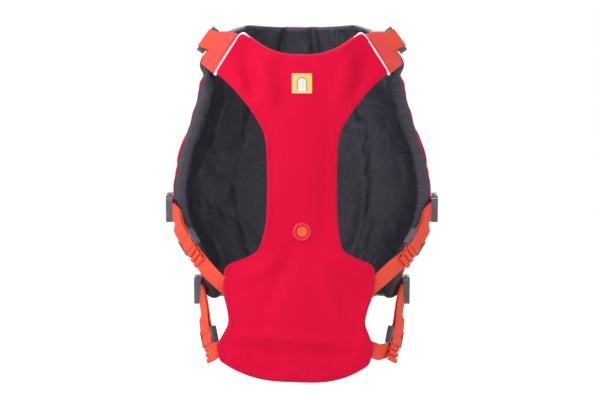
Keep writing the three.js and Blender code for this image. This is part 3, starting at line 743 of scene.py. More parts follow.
moulded_grey = moulded_material("moulded_grey", (0.082, 0.079, 0.094), 0.46)
SIDES = (("left", -1), ("right", 1))
for hand, side in SIDES:
    for name in ("neck_socket_", "neck_plug_", "upper_socket_", "upper_plug_", "upper_glide_",
                 "lower_socket_", "lower_plug_", "lower_glide_"):
        fitting = bpy.data.objects[name + hand]
        soft_edge = fitting.modifiers.new("soft_edge", "BEVEL")
        soft_edge.width = 0.5 * MM
        soft_edge.segments = 2
        soft_edge.limit_method = "ANGLE"
        fitting.material_slots[0].material = moulded_grey

steel = new_material("ring_wire", (0.62, 0.63, 0.65), 0.28, Metallic=1.0)
bpy.data.objects["leash_ring"].material_slots[0].material = steel


# ---------------------------------------------------------------------------------------------
# Neck sleeves. A flat tube of coral ripstop is sewn into each shoulder edge under the piping, and
# the neck webbing slides in its open end. It bends between the panel and the neck buckle.
# ---------------------------------------------------------------------------------------------
def flat_ring(centre, across, out, half_width, half_thick, count=40):
    """A ring of places round a flattened band, with full rounded sides."""
    turn = np.linspace(0, 2 * math.pi, count, endpoint=False)
    wide = np.sign(np.cos(turn)) * np.abs(np.cos(turn)) ** 0.55
    deep = np.sign(np.sin(turn)) * np.abs(np.sin(turn)) ** 0.8
    return centre + np.outer(wide * half_width, across) + np.outer(deep * half_thick, out)


def tube_mesh(name, rings):
    """Joins rings of equal count into a closed tube, with its place round and along as the UV map."""
    count = len(rings[0])
    points = np.concatenate(rings)
    faces, uvs = [], []
    middles = np.array([ring.mean(0) for ring in rings])
    along_tube = np.concatenate([[0], np.cumsum(np.linalg.norm(np.diff(middles, axis=0), axis=1))])
    biggest = max(rings, key=lambda ring: np.ptp(ring, axis=0).sum())
    steps = np.linalg.norm(np.diff(np.vstack([biggest, biggest[:1]]), axis=0), axis=1)
    around = np.concatenate([[0], np.cumsum(steps)])
    for r in range(len(rings) - 1):
        for i in range(count):
            j = (i + 1) % count
            faces.append((r * count + i, r * count + j, (r + 1) * count + j, (r + 1) * count + i))
            uvs += [(around[i], along_tube[r]), (around[i + 1], along_tube[r]),
                    (around[i + 1], along_tube[r + 1]), (around[i], along_tube[r + 1])]
    faces.append(tuple(reversed(range(count))))
    faces.append(tuple(range((len(rings) - 1) * count, len(rings) * count)))
    uvs += [(0, 0)] * 2 * count
    mesh = bpy.data.meshes.new(name)
    mesh.from_pydata((points * MM).tolist(), [], faces)
    uv = mesh.uv_layers.new(name="cloth")
    uv.data.foreach_set("uv", (np.array(uvs) * MM).astype(np.float32).ravel())
    mesh.polygons.foreach_set("use_smooth", [True] * len(faces))
    outward(mesh)
    return mesh


def outward(mesh):
    """Turns every face of a closed mesh outwards."""
    body = bmesh.new()
    body.from_mesh(mesh)
    bmesh.ops.recalc_face_normals(body, faces=body.faces)
    body.to_mesh(mesh)
    body.free()


def unit(vector):
    vector = np.asarray(vector, float)
    return vector / np.linalg.norm(vector, axis=-1, keepdims=True)


def ripstop_material(name, base, thread):
    """Light cloth with a heavier thread every few millimetres, and soft crumples."""
    made = new_material(name, base, 0.55, Specular_IOR_Level=0.2)
    tree = made.node_tree
    uv = cloth_place(tree)
    place = object_place(tree)
    parts = node(tree, "ShaderNodeSeparateXYZ", {"Vector": uv})
    lines = []
    for axis in (0, 1):
        cells = maths(tree, "PINGPONG", parts.outputs[axis], 0.0012)
        fine_line = {"From Min": 0.0, "From Max": 0.0003, "To Min": 1.0, "To Max": 0.0}
        lines.append(remapped(tree, cells, fine_line))
    grid = maths(tree, "MAXIMUM", *lines)
    tone = drifting(tree, place, 60.0, 3.0, base, darker(base, 0.85))
    tone = mixed(tree, grid, tone, thread)
    shader = tree.nodes["Principled BSDF"]
    tree.links.new(tone, shader.inputs["Base Color"])
    crumple = node(tree, "ShaderNodeTexNoise", {
        "Vector": place, "Scale": 90.0, "Detail": 3.0, "Distortion": 0.6})
    soft = bump(tree, crumple.outputs["Fac"], 0.25, 0.002)
    tree.links.new(bump(tree, grid, 0.3, 0.0002, soft), shader.inputs["Normal"])
    return made


coral_ripstop = ripstop_material("coral_ripstop", (0.66, 0.050, 0.041), (0.70, 0.073, 0.06))
SLEEVE_START = np.array([(80, -61, 215), (110.5, -59, 163)], float)
SLEEVE_END = np.array([(104, -39, 220), (129, -33, 179)], float)
SLEEVE_OUT = unit((0.66, -0.5, 0.5))
SLEEVE_DEPTH = 4.4
# Rings by how far along the sleeve they are and how full: out to the mouth, then back inside it.
SLEEVE_RINGS = [
    (0, 0.3), (0, 0.8), (0.08, 1), (0.2, 1), (0.33, 1.02), (0.46, 1.05), (0.6, 1.04), (0.72, 1),
    (0.84, 0.98), (0.94, 1.04), (1.0, 1.0), (1.0, 0.62), (0.93, 0.5), (0.8, 0.4), (0.8, 0.1),
]
for hand, side in SIDES:
    mirror = np.array([side, 1, 1])
    rings = []
    for r, full in SLEEVE_RINGS:
        pair = SLEEVE_START + (SLEEVE_END - SLEEVE_START) * r
        width = np.linalg.norm(pair[1] - pair[0])
        across = (pair[1] - pair[0]) / width
        pucker = 0.5 * math.sin(r * 23) + 0.4 * math.sin(r * 41 + 1)
        mouth = full < 0.7 and r > 0.5
        half_wide = width / 2 - (2.2 + 4 * (1 - full) if mouth else 0)
        half_deep = SLEEVE_DEPTH * full + (0 if mouth else 0.35 * pucker)
        centre = pair.mean(0) + SLEEVE_OUT * (2.4 * math.sin(math.pi * r) + 0.4 * pucker)
        rings.append(flat_ring(centre, across, SLEEVE_OUT, half_wide, half_deep) * mirror)
    name = "neck_sleeve_cloth_" + hand
    sleeve = link_object(name, tube_mesh(name, rings), coral_ripstop)
    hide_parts("neck_sleeve_" + hand)
    start, end = ((pair.mean(0) * mirror * MM).tolist() for pair in (SLEEVE_START, SLEEVE_END))
    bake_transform(sleeve, "belly_panel", "saddle", start=start, end=end)


# ---------------------------------------------------------------------------------------------
# Shoulder piping. A reflective cord in a silver-white cover is caught in each shoulder seam and
# curls round the corner of the neckline.
# ---------------------------------------------------------------------------------------------
def smooth_path(knots, step):
    """Evenly spaced places, step apart, on a smooth curve through rows of numbers.
    The first three numbers of a row are its place, and any more are carried along."""
    knots = np.asarray(knots, float)
    gaps = np.sqrt(np.linalg.norm(np.diff(knots[:, :3], axis=0), axis=1))
    t = np.concatenate([[0], np.cumsum(gaps)])
    slopes = np.gradient(knots, t, axis=0)
    fine = np.linspace(0, t[-1], 60 * len(knots))
    i = np.clip(np.searchsorted(t, fine, side="right") - 1, 0, len(t) - 2)
    span = (t[i + 1] - t[i])[:, None]
    f = ((fine - t[i]) / (t[i + 1] - t[i]))[:, None]
    curve = (
        (2 * f**3 - 3 * f**2 + 1) * knots[i] + (f**3 - 2 * f**2 + f) * span * slopes[i]
        + (3 * f**2 - 2 * f**3) * knots[i + 1] + (f**3 - f**2) * span * slopes[i + 1]
    )
    run = np.concatenate([[0], np.cumsum(np.linalg.norm(np.diff(curve[:, :3], axis=0), axis=1))])
    even = np.linspace(0, run[-1], max(2, round(run[-1] / step) + 1))
    return np.stack([np.interp(even, run, column) for column in curve.T], 1)


def cord_rings(path, radius, count=14):
    """Round rings along a cord's path, each of its own radius."""
    run = unit(np.gradient(path, axis=0))
    aside = unit(np.cross(run, (0.2, 1, 0.1)))
    out = np.cross(aside, run)
    turn = np.linspace(0, 2 * math.pi, count, endpoint=False)
    circle = np.cos(turn)[:, None], np.sin(turn)[:, None]
    return [p + r * (circle[0] * a + circle[1] * o) for p, r, a, o in zip(path, radius, aside, out)]


def reflective_material(name, base):
    """Silver-white reflective tape: small cells under a clear face."""
    made = new_material(name, base, 0.35, Specular_IOR_Level=0.6, Coat_Weight=0.3, Coat_Roughness=0.2)
    tree = made.node_tree
    place = object_place(tree)
    cells = node(tree, "ShaderNodeTexVoronoi", {"Vector": place, "Scale": 900.0})
    tone = mixed(tree, cells.outputs["Distance"], base, darker(base, 0.82))
    shader = tree.nodes["Principled BSDF"]
    tree.links.new(tone, shader.inputs["Base Color"])
    tree.links.new(bump(tree, cells.outputs["Distance"], 0.15, 0.0002), shader.inputs["Normal"])
    return made


silver_white = reflective_material("silver_white", (0.72, 0.68, 0.73))
PIPING_RADIUS, PIPING_STEP = 2.0, 1.2
PIPING_PLACES = (0.6, 0.63, 0.665, 0.71, 0.76, 0.82, 0.88, 0.94, 1.0)  # across the panel's top edge
for hand, side in SIDES:
    knots = []
    for s in PIPING_PLACES:
        x, y, z = panel_place(np.array([s]), np.array([1.0]), np.array([PAD * 0.62]))[0] / MM
        tuck = smoothstep(s, 0.6, 0.66)
        x += 0.9 * tuck + 0.8 * smoothstep(s, 0.7, 0.84)
        z -= 1.6 - 0.4 * tuck + 1.6 * smoothstep(s, 0.94, 1)
        knots.append((side * x, y - 1.6, z))
    path = smooth_path(knots, PIPING_STEP)
    taper = np.minimum(1, 0.35 + np.arange(len(path)) / 6)
    name = "shoulder_piping_cord_" + hand
    piping = link_object(name, tube_mesh(name, cord_rings(path, PIPING_RADIUS * taper)), silver_white)
    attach(piping, "belly_panel")
    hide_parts("shoulder_piping_" + hand)


# ---------------------------------------------------------------------------------------------
# Neck webbing. Ribbed orange webbing slides out of each sleeve, goes under the plug's bar, up
# through its slot and back over the bar into the sleeve.
# ---------------------------------------------------------------------------------------------
RIB = 1.7  # millimetres from one rib of the webbing to the next
WEB_THICK = 1.6
WEB_FACE = np.array([
    (-0.5, -0.2), (-0.475, -0.5), (-0.3, -0.42), (-0.1, -0.5),
    (0.1, -0.5), (0.3, -0.42), (0.475, -0.5), (0.5, -0.2),
])
WEB_SECTION = np.concatenate([WEB_FACE, -WEB_FACE])  # one face and then the other, a unit wide and thick


def webbing(name, knots, width, thick, material):
    """A band of webbing through knots of a place and the way across it, with ribs across."""
    rows = smooth_path(knots, RIB / 2)
    path, across = rows[:, :3], rows[:, 3:6]
    run = unit(np.gradient(path, axis=0))
    across = unit(across - (across * run).sum(1, keepdims=True) * run)
    out = np.cross(across, run)
    rings = []
    for i, (p, a, o) in enumerate(zip(path, across, out)):
        rib = 1.1 if i % 2 == 0 else 0.9
        end = 0.8 if i in (0, len(path) - 1) else 1
        section = WEB_SECTION * (width, thick * rib * end)
        rings.append(p + np.outer(section[:, 0], a) + np.outer(section[:, 1], o))
    return link_object(name, tube_mesh(name, rings), material)


def webbing_material(name, base, dark):
    """Ribbed webbing: ribs across it, painted shade in the grooves between the ribs and threads, and a soft
    drift of tone.
    """
    made = new_material(name, base, 0.6, Specular_IOR_Level=0.2)
    tree = made.node_tree
    uv = cloth_place(tree)
    place = object_place(tree)
    ribs = bands(tree, uv, 185.0, "Y")
    warp = bands(tree, uv, 420.0, "X")
    weave = maths(tree, "MULTIPLY", ribs, warp)
    tone = drifting(tree, place, 45.0, 3.0, base, darker(base, 0.88))
    # The dark colour is painted shade. It fills the grooves where the weave, which also makes the bump, is
    # low.
    tone = mixed(tree, weave, dark, tone)
    shader = tree.nodes["Principled BSDF"]
    tree.links.new(tone, shader.inputs["Base Color"])
    tree.links.new(bump(tree, weave, 0.4, 0.0004), shader.inputs["Normal"])
    return made


# The second colour is the painted shade in the grooves between the ribs.
orange_webbing = webbing_material("orange_webbing", (0.82, 0.094, 0.046), (0.60, 0.052, 0.026))


def placed(at, across, mirror):
    """A knot for webbing: a place and the way across the band there, on one side of the jacket."""
    return np.concatenate([np.array(at) * mirror, np.array(across) * mirror])


def buckle_seat(mouth, into, across, side):
    """Turns places in a buckle (out from the dog, into the socket, across) to places on the jacket."""
    mirror = np.array([side, 1, 1])
    into, across = unit(into), unit(across)
    out = unit(np.cross(into, across))
    if out[0] < 0:
        out = -out

    def seat(rows):
        return [placed(np.array(mouth) + x * out + y * into, across, mirror) for x, y in rows]

    return seat


# Round the neck plug's bar, from below it to above it.
PLUG_LOOP = [(-5.6, -14.5), (-5.6, -10.8), (-4.6, -8.1), (-1.6, -7.0), (1.8, -7.0), (4.8, -8.1), (5.7, -10.8)]
NECK_MOUTH, NECK_IN, NECK_ACROSS = (122.2, -13.5, 211.6), (0.05, 0.99, 0.08), (-0.58, 0, 0.81)
NECK_WIDTH, SIDE_WIDTH = 26.5, 20.5
for hand, side in SIDES:
    mirror = np.array([side, 1, 1])
    seat = buckle_seat(NECK_MOUTH, NECK_IN, NECK_ACROSS, side)
    lean = unit(NECK_ACROSS)
    knots = [
        placed((106, -50, 197), lean, mirror), placed((113, -44, 203), lean, mirror),
        *seat(PLUG_LOOP), *seat([(5.6, -14), (3.8, -18.5)]),
        placed((112.5, -44.5, 207), lean, mirror), placed((106.5, -50, 202), lean, mirror),
    ]
    neck_web = webbing("neck_web_" + hand, knots, NECK_WIDTH, WEB_THICK, orange_webbing)
    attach(neck_web, "neck_plug_" + hand)
    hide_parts("neck_webbing_" + hand)


# ---------------------------------------------------------------------------------------------
# Side straps. Ribbed webbing is sewn under the belly panel's edge, goes through its tri-glide,
# round a steel pin in the plug's slot, and comes back to the glide. The spare end is folded up
# below the glide.
# ---------------------------------------------------------------------------------------------
# Up through a side plug's slot, round the steel pin in it and out again under the plug.
PIN_LOOP = [
    (-6.9, -14.5), (-6.9, -11), (-6.5, -8), (-4.6, -6.1), (-2.2, -5.65), (0.2, -5.65), (1.5, -6),
    (1.95, -7), (1.5, -8), (0.2, -8.35), (-2.2, -8.35), (-4.4, -9.2), (-5.15, -11), (-5.2, -14.5),
]
PIN_PLACE, PIN_RADIUS, PIN_LENGTH = (0.2, -7), 0.7, 25
SWING = (-38, 207)  # where the panel's hinge line is, back to front and in height
SIDE_STRAPS = {
    "upper": dict(
        mouth=(172.6, 0, -8), glide=(144.5, -46, -50), run=(0.5, 0.42, 0.76), out=(0.72, -0.68, -0.1),
        sewn=[(86, -70, -112), (102, -75, -98), (118, -68, -83)], through=(-24, -12, 0, 12, 24),
        rise=(160, -25, -19), pleat_pitch=8.3, pleat_height=4.4,
    ),
    "lower": dict(
        mouth=(136, 0, -115), glide=(119, -40, -172), run=(0.2, 0.28, 0.94), out=(0.8, -0.6, 0),
        sewn=[(84, -60, -182), (100, -66, -187), (107.5, -60, -190)], through=(-12, 0, 12, 24),
        rise=(125.5, -25, -138), pleat_pitch=7.6, pleat_height=3.8,
    ),
}


def pin_mesh(name, ends, radius):
    """A straight pin between two places, with softened ends."""
    run = unit(ends[1] - ends[0])
    aside = unit(np.cross(run, (0.3, 0.2, 1)))
    out = np.cross(run, aside)
    turn = np.linspace(0, 2 * math.pi, 12, endpoint=False)
    circle = np.cos(turn)[:, None] * aside + np.sin(turn)[:, None] * out
    steps = [(ends[0], 0.7), (ends[0] + run * 0.2, 1), (ends[1] - run * 0.2, 1), (ends[1], 0.7)]
    return tube_mesh(name, [at + circle * radius * share for at, share in steps])


def sewn_shift(at):
    """The sewn end follows the panel's sideways hang."""
    return np.array([float(panel_lean(at[2])), 0, 0, 0, 0, 0])


def strap_seat(strap, side):
    """A side buckle's seat: its plug goes in along the arc that the panel swings on."""
    y, z = strap["mouth"][1] - SWING[0], SWING[1] - strap["mouth"][2]
    turn = math.atan2(y, z)
    return buckle_seat(
        strap["mouth"], (0, math.cos(turn), math.sin(turn)), (0, math.sin(turn), -math.cos(turn)), side
    )


RISE_OUT = unit((0.9, -0.4, 0))  # the way that the strap's two plies part between glide and buckle
PLEATS, PLEAT_START = 3, -9.5


def spare_pleats(pitch, height):
    """The spare end's places along and out from the glide: over its lower bar, then to and fro."""
    pleats = [(4.5, 2.6), (-4, 4.4), (-8, 4.8), (PLEAT_START - 0.6, 3.6), (PLEAT_START - 1.0, 1.2)]
    for i in range(PLEATS):
        ridge = PLEAT_START - 1.6 - pitch * i
        valley = ridge - pitch
        pleats += [
            (ridge - 0.2, 1.0), (ridge - 0.6, height - 0.7), (ridge - 1.6, height),
            (ridge - pitch / 2 + 0.3, height + 0.2),
            (valley + 3.3, height), (valley + 2.3, height - 0.7), (valley + 2.0, 1.0),
        ]
    return pleats


for hand, side in SIDES:
    mirror = np.array([side, 1, 1])
    for level, strap in SIDE_STRAPS.items():
        run, out, glide = unit(strap["run"]), unit(strap["out"]), np.array(strap["glide"], float)
        lean = unit(np.cross(run, out))
        first_run = unit(np.subtract(strap["sewn"][1], strap["sewn"][0]))
        sewn_lean = unit(np.cross(first_run, (0.5, -0.86, 0)))
        rise = np.array(strap["rise"], float)
        seat = strap_seat(strap, side)
        round_pin = seat(PIN_LOOP)
        rise_lean = unit(lean + round_pin[0][3:] * mirror)

        def by_glide(along_run, outward_by=0):
            return placed(glide + run * along_run + out * outward_by, lean, mirror)

        knots = [
            *(placed(at, sewn_lean, mirror) + sewn_shift(at) for at in strap["sewn"]),
            *(by_glide(d) for d in strap["through"]),
            placed(rise - RISE_OUT * 0.9, rise_lean, mirror), *round_pin,
            placed(rise + RISE_OUT * 1.2, rise_lean, mirror),
            by_glide(26, 2.9), by_glide(15, 4.2), by_glide(8, 4.4), by_glide(3, 2.4),
        ]
        strap_web = webbing(f"{level}_web_{hand}", knots, SIDE_WIDTH, WEB_THICK, orange_webbing)
        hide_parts(f"{level}_strap_{hand}")
        start = (glide + run * 14) * mirror * MM
        end = round_pin[0][:3] * MM
        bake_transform(strap_web, "belly_panel", f"{level}_plug_{hand}", start=tuple(start), end=tuple(end))

        knots = [by_glide(d, h) for d, h in spare_pleats(strap["pleat_pitch"], strap["pleat_height"])]
        spare = webbing(f"{level}_spare_{hand}", knots, SIDE_WIDTH, WEB_THICK * 0.9, orange_webbing)
        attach(spare, f"{level}_glide_{hand}")

        centre, pin_run = np.split(seat([PIN_PLACE])[0], 2)
        ends = [centre + pin_run * d for d in (-PIN_LENGTH / 2, PIN_LENGTH / 2)]
        name = f"{level}_pin_{hand}"
        pin = link_object(name, pin_mesh(name, ends, PIN_RADIUS), steel)
        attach(pin, f"{level}_plug_{hand}")

# ---------------------------------------------------------------------------------------------
# Buckle tabs. Each socket hangs in a loop of webbing that is sewn down on the saddle's outer
# cloth, with a bar tack close to the buckle and a stitched cross at the end.
# ---------------------------------------------------------------------------------------------
def surface_of(piece):
    """A piece's faces, ready for rays to find."""
    mesh = piece.data
    return BVHTree.FromPolygons([v.co for v in mesh.vertices], [p.vertices for p in mesh.polygons])


saddle_surface = surface_of(saddle_cover)


def saddle_spot(angle, z, lift):
    """A place on the saddle's outer cloth, in millimetres, with its way up the cloth and its way out."""
    def at(turn, height):
        x = (along(SADDLE_WIDTH, height) + PAD / MM) * math.sin(turn)
        y = (along(SADDLE_DEPTH, height) + PAD / MM) * math.cos(turn)
        return np.array([float(x), float(y), height])

    angle = math.radians(angle)
    round_way = at(angle + 0.01, z) - at(angle - 0.01, z)
    up = unit(at(angle, z + 3) - at(angle, z - 3))
    out = unit(np.cross(up, round_way))
    if out @ at(angle, 0) < 0:
        out = -out
    far = Vector((at(angle, z) + out * 15) * MM)
    hit = saddle_surface.ray_cast(far, Vector(-out))[0]
    spot = at(angle, z) if hit is None else np.array(hit) / MM
    return spot + out * lift, up, out


def down_cloth(angle, z, lift):
    """A knot for webbing that runs round the saddle: a place on the cloth and the way down it."""
    spot, up, _ = saddle_spot(angle, z, lift)
    return np.concatenate([spot, -up])


SOCKET_LOOP = [
    (-6.0, 36.5), (-6.0, 32), (-4.6, 29.4), (-1, 28.6), (1, 28.6), (4.6, 29.4), (6.1, 32), (5.4, 35.8),
]
TABS = {
    "neck": dict(z=211, angles=(53, 58, 63, 68), width=NECK_WIDTH - 5, back=(66, 60), cross=6.5),
    "upper": dict(z=-2, angles=(40, 46, 52, 58, 63), width=SIDE_WIDTH, back=(64, 58), cross=8.5),
    "lower": dict(z=-106, angles=(35, 41, 47, 53, 58), width=SIDE_WIDTH, back=(58, 52), cross=8.5),
}
tab_stitches = []  # each is a run of places on a tab, for its thread
for hand, side in SIDES:
    for level, tab in TABS.items():
        if level == "neck":
            seat = buckle_seat(NECK_MOUTH, NECK_IN, -np.array(NECK_ACROSS), side)
        else:
            seat = strap_seat(SIDE_STRAPS[level], side)
        knots = [
            *(down_cloth(side * angle, tab["z"], 1.0) for angle in tab["angles"]), *seat(SOCKET_LOOP),
            *(down_cloth(side * angle, tab["z"], lift) for angle, lift in zip(tab["back"], (2.8, 2.5))),
        ]
        piece = webbing(f"{level}_tab_web_{hand}", knots, tab["width"], WEB_THICK * 0.9, orange_webbing)
        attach(piece, "saddle")
        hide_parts(f"neck_anchor_{hand}" if level == "neck" else f"{level}_tab_{hand}")

        def on_tab(angle, h, lift=1.95):
            return saddle_spot(side * angle, tab["z"] + h, lift)[0]

        half = tab["width"] / 2 - 2.2
        near, far = tab["angles"][0] + 1.3, tab["angles"][0] + tab["cross"]
        corners = [(near, -half), (far, -half), (far, half), (near, half), (near, -half), (far, half)]
        for (a0, h0), (a1, h1) in [*zip(corners, corners[1:]), ((near, half), (far, -half))]:
            steps = np.linspace(0, 1, 9)
            tab_stitches.append([on_tab(a0 + (a1 - a0) * t, h0 + (h1 - h0) * t) for t in steps])
        for shift in (0, 0.5, 1.0):
            tack = tab["back"][1] + 0.7 + shift
            tab_stitches.append([on_tab(tack, h, 3.5) for h in np.linspace(-half, half, 9)])

# ---------------------------------------------------------------------------------------------
# Grab handle. A padded band of webbing stands off the spine; each end runs under a rubbery patch
# that is stitched down all round, and the band can flop to either side.
# ---------------------------------------------------------------------------------------------
HANDLE_LOW, HANDLE_HIGH, HANDLE_LIFT = 10, 112, 30
HANDLE_WIDTH, HANDLE_THICK = 22, 7  # at the grip
HANDLE_END, HANDLE_THIN = 15, 2.2  # and at the ends
HANDLE_BOW = 0.7  # 1 would be a round arch, and less is squarer
foot = float(along(SADDLE_DEPTH, 60.0)) + PAD / MM + 1.6  # how far back the handle's ends lie
rings = []
for t in np.linspace(0, 1, 61):
    grip = float(smoothstep(t, 0.12, 0.24) * smoothstep(1 - t, 0.12, 0.24))
    width = HANDLE_END + (HANDLE_WIDTH - HANDLE_END) * grip
    deep = HANDLE_THIN + (HANDLE_THICK - HANDLE_THIN) * grip
    z = HANDLE_LOW + (HANDLE_HIGH - HANDLE_LOW) * t + (t - 0.5) * 3
    arch = math.sin(math.pi * t)
    y = foot + 4 + HANDLE_LIFT * arch**HANDLE_BOW
    slope = HANDLE_LIFT * HANDLE_BOW * math.pi * math.cos(math.pi * t) / max(0.35, arch ** (1 - HANDLE_BOW))
    run = unit((0, slope, HANDLE_HIGH - HANDLE_LOW))
    out = np.cross(run, (-1, 0, 0))
    rings.append(flat_ring(np.array([0, y, z]), np.array([1.0, 0, 0]), out, width / 2, deep / 2, 28))
handle = link_object("grab_handle_band", tube_mesh("grab_handle_band", rings), orange_webbing)
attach(handle, "grab_handle")
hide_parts("grab_handle")


def laid_grid(name, place, columns, rows, wall, round_corner=0.0):
    """A thin sheet laid on a surface by place(column, row), with a wall and, if wanted, round corners."""
    points, faces = [], []
    for v in rows:
        for u in columns:
            corner_u, corner_v = abs(u) - (1 - round_corner), abs(v) - (1 - round_corner)
            cu, cv = u, v
            if round_corner and corner_u > 0 and corner_v > 0:
                away = math.hypot(corner_u, corner_v)
                pull = max(corner_u, corner_v) / away
                cu = math.copysign(1 - round_corner + corner_u * pull, u)
                cv = math.copysign(1 - round_corner + corner_v * pull, v)
            points.append(place(cu, cv))
    n = len(columns)
    for r in range(len(rows) - 1):
        for c in range(n - 1):
            faces.append((r * n + c, r * n + c + 1, (r + 1) * n + c + 1, (r + 1) * n + c))
    mesh = bpy.data.meshes.new(name)
    mesh.from_pydata((np.array(points) * MM).tolist(), [], faces)
    uv = mesh.uv_layers.new(name="cloth")
    flat = [(columns[i % n], rows[i // n]) for face in faces for i in face]
    uv.data.foreach_set("uv", np.array(flat, np.float32).ravel())
    piece = link_object(name, mesh)
    thick = piece.modifiers.new("wall", "SOLIDIFY")
    thick.thickness = wall * MM
    thick.offset = -1
    apply_modifiers(piece)
    outward(piece.data)
    return piece


def square_runs(place, inset, count=12):
    """Runs of places along the four sides of a square, a little inside its edge."""
    corners = [(-inset, -inset), (inset, -inset), (inset, inset), (-inset, inset), (-inset, -inset)]
    steps = np.linspace(0, 1, count)
    return [
        [place(u0 + (u1 - u0) * t, v0 + (v1 - v0) * t) for t in steps]
        for (u0, v0), (u1, v1) in zip(corners, corners[1:])
    ]


patch_rubber = moulded_material("patch_rubber", (0.055, 0.054, 0.064), 0.6)
rounded = np.sort(np.concatenate([np.linspace(-1, 1, 15), [-0.97, -0.92, 0.92, 0.97]]))
PATCH_SHIFT, PATCH_TURN, PATCH_HALF = 19, 15.5, 13  # millimetres, degrees and millimetres
patch_stitches = []
for name, end, away in (("rear", HANDLE_LOW, -1), ("front", HANDLE_HIGH, 1)):
    middle = end + away * PATCH_SHIFT

    def on_back(u, v, lift=1.9):
        return saddle_spot(u * PATCH_TURN, middle + v * PATCH_HALF, lift)[0]

    patch = laid_grid("handle_patch_pad_" + name, on_back, -rounded, rounded, 1.6, 0.22)
    patch.data.materials.append(patch_rubber)
    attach(patch, "saddle")
    for inset in (0.86, 0.74):
        patch_stitches += square_runs(lambda u, v: on_back(u, v, 2.1), inset)
    knots = []
    for t in (0, 0.35, 0.7, 1):
        z = end + away * (10 - 9.6 * t)
        base = saddle_spot(0, z, 1.2)[0][1]
        knots.append((0, base + (foot + 3.9 - base) * float(smoothstep(t, 0, 1)), z, 1, 0, 0))
    root = webbing("handle_root_" + name, knots, HANDLE_END, 2.0, orange_webbing)
    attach(root, "saddle")
    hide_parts("handle_patch_" + name)

# ---------------------------------------------------------------------------------------------
# Leash point and light loop. A short tab of webbing holds the steel ring behind the neck, and a
# flat charcoal keeper above it takes a small light.
# ---------------------------------------------------------------------------------------------
RING_Z = 168
TAB_WIDTH, TAB_RADIUS = 18, 3.2
ring_y = float(along(SADDLE_DEPTH, float(RING_Z))) + PAD / MM + 4.6


def up_spine(z, lift):
    """A knot for webbing that runs up the spine."""
    return np.concatenate([saddle_spot(0, z, lift)[0], [1, 0, 0]])


over_ring = [
    (0, ring_y + TAB_RADIUS * math.cos(turn), RING_Z + TAB_RADIUS * math.sin(turn), 1, 0, 0)
    for turn in np.radians((-62, -30, 0, 30, 62))
]
knots = [up_spine(156, 0.9), up_spine(161, 0.9), *over_ring, up_spine(176, 0.9), up_spine(183, 0.9)]
ring_tab = webbing("leash_tab_web", knots, TAB_WIDTH, WEB_THICK * 0.9, orange_webbing)
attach(ring_tab, "saddle")
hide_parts("leash_ring_tab")

# The second colour is the painted shade in the grooves between the ribs.
charcoal_webbing = webbing_material("charcoal_webbing", (0.030, 0.030, 0.038), (0.014, 0.014, 0.018))
KEEPER_Z, KEEPER_LENGTH, KEEPER_LIFT = 194, 16, 4
knots = []
for t in np.linspace(-0.25, 1.25, 9):
    stand = 0.9 + KEEPER_LIFT * math.sin(math.pi * min(max(t, 0), 1))
    knots.append(up_spine(KEEPER_Z + KEEPER_LENGTH * t, stand))
keeper = webbing("light_keeper_web", knots, TAB_WIDTH, 1.4, charcoal_webbing)
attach(keeper, "saddle")
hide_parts("light_loop")
for z in (157.5, 159, 180, 181.5, 191.5, 212.5):
    patch_stitches.append([saddle_spot(a, z, 1.8)[0] for a in np.linspace(-4.2, 4.2, 9)])

# ---------------------------------------------------------------------------------------------
# Reflective strips. A band of silver-white tape runs down each flank beside the spine, bridging
# the fold in the pad and stitched along both edges.
# ---------------------------------------------------------------------------------------------
STRIP_EDGES = (29.1, 36.9)  # degrees from the spine
STRIP_MIDDLE, STRIP_HALF = 53, 103
for hand, side in SIDES:
    def on_strip(u, v, lift=0.75):
        z = STRIP_MIDDLE + v * STRIP_HALF
        inner, outer = (saddle_spot(side * angle, z, lift)[0] for angle in STRIP_EDGES)
        return inner + (outer - inner) * (u + 1) / 2

    columns = np.array([-1, -0.5, 0, 0.5, 1.0]) * -side
    strip = laid_grid("reflective_band_" + hand, on_strip, columns, np.linspace(-1, 1, 60), 0.5)
    strip.data.materials.append(silver_white)
    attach(strip, "saddle")
    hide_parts("reflective_strip_" + hand)
    for u in (-0.86, 0.86):
        patch_stitches.append([on_strip(u, v, 0.85) for v in np.linspace(-0.99, 0.99, 60)])

# ---------------------------------------------------------------------------------------------
# Chest badge. A small woven label with a yellow ground, a paler edge and a plain arch in white,
# stitched on the belly panel below the neckline.
# ---------------------------------------------------------------------------------------------
belly_surface = surface_of(belly_cover)


def belly_spot(x, z, lift):
    """A place on the belly panel's outer cloth, in millimetres, lifted along its way out."""
    hit, normal, _, _ = belly_surface.ray_cast(Vector((x * MM, -0.3, z * MM)), Vector((0, 1, 0)))
    normal = normal if normal.y < 0 else -normal
    return np.array(hit) / MM + np.array(normal) * lift


BADGE_EDGE = 0.88  # these and the arch's sizes are shares of half the badge
ARCH_SPRING, ARCH_FOOT, ARCH_RADIUS, ARCH_OUTLINE = 0.12, -0.78, 0.42, 0.50


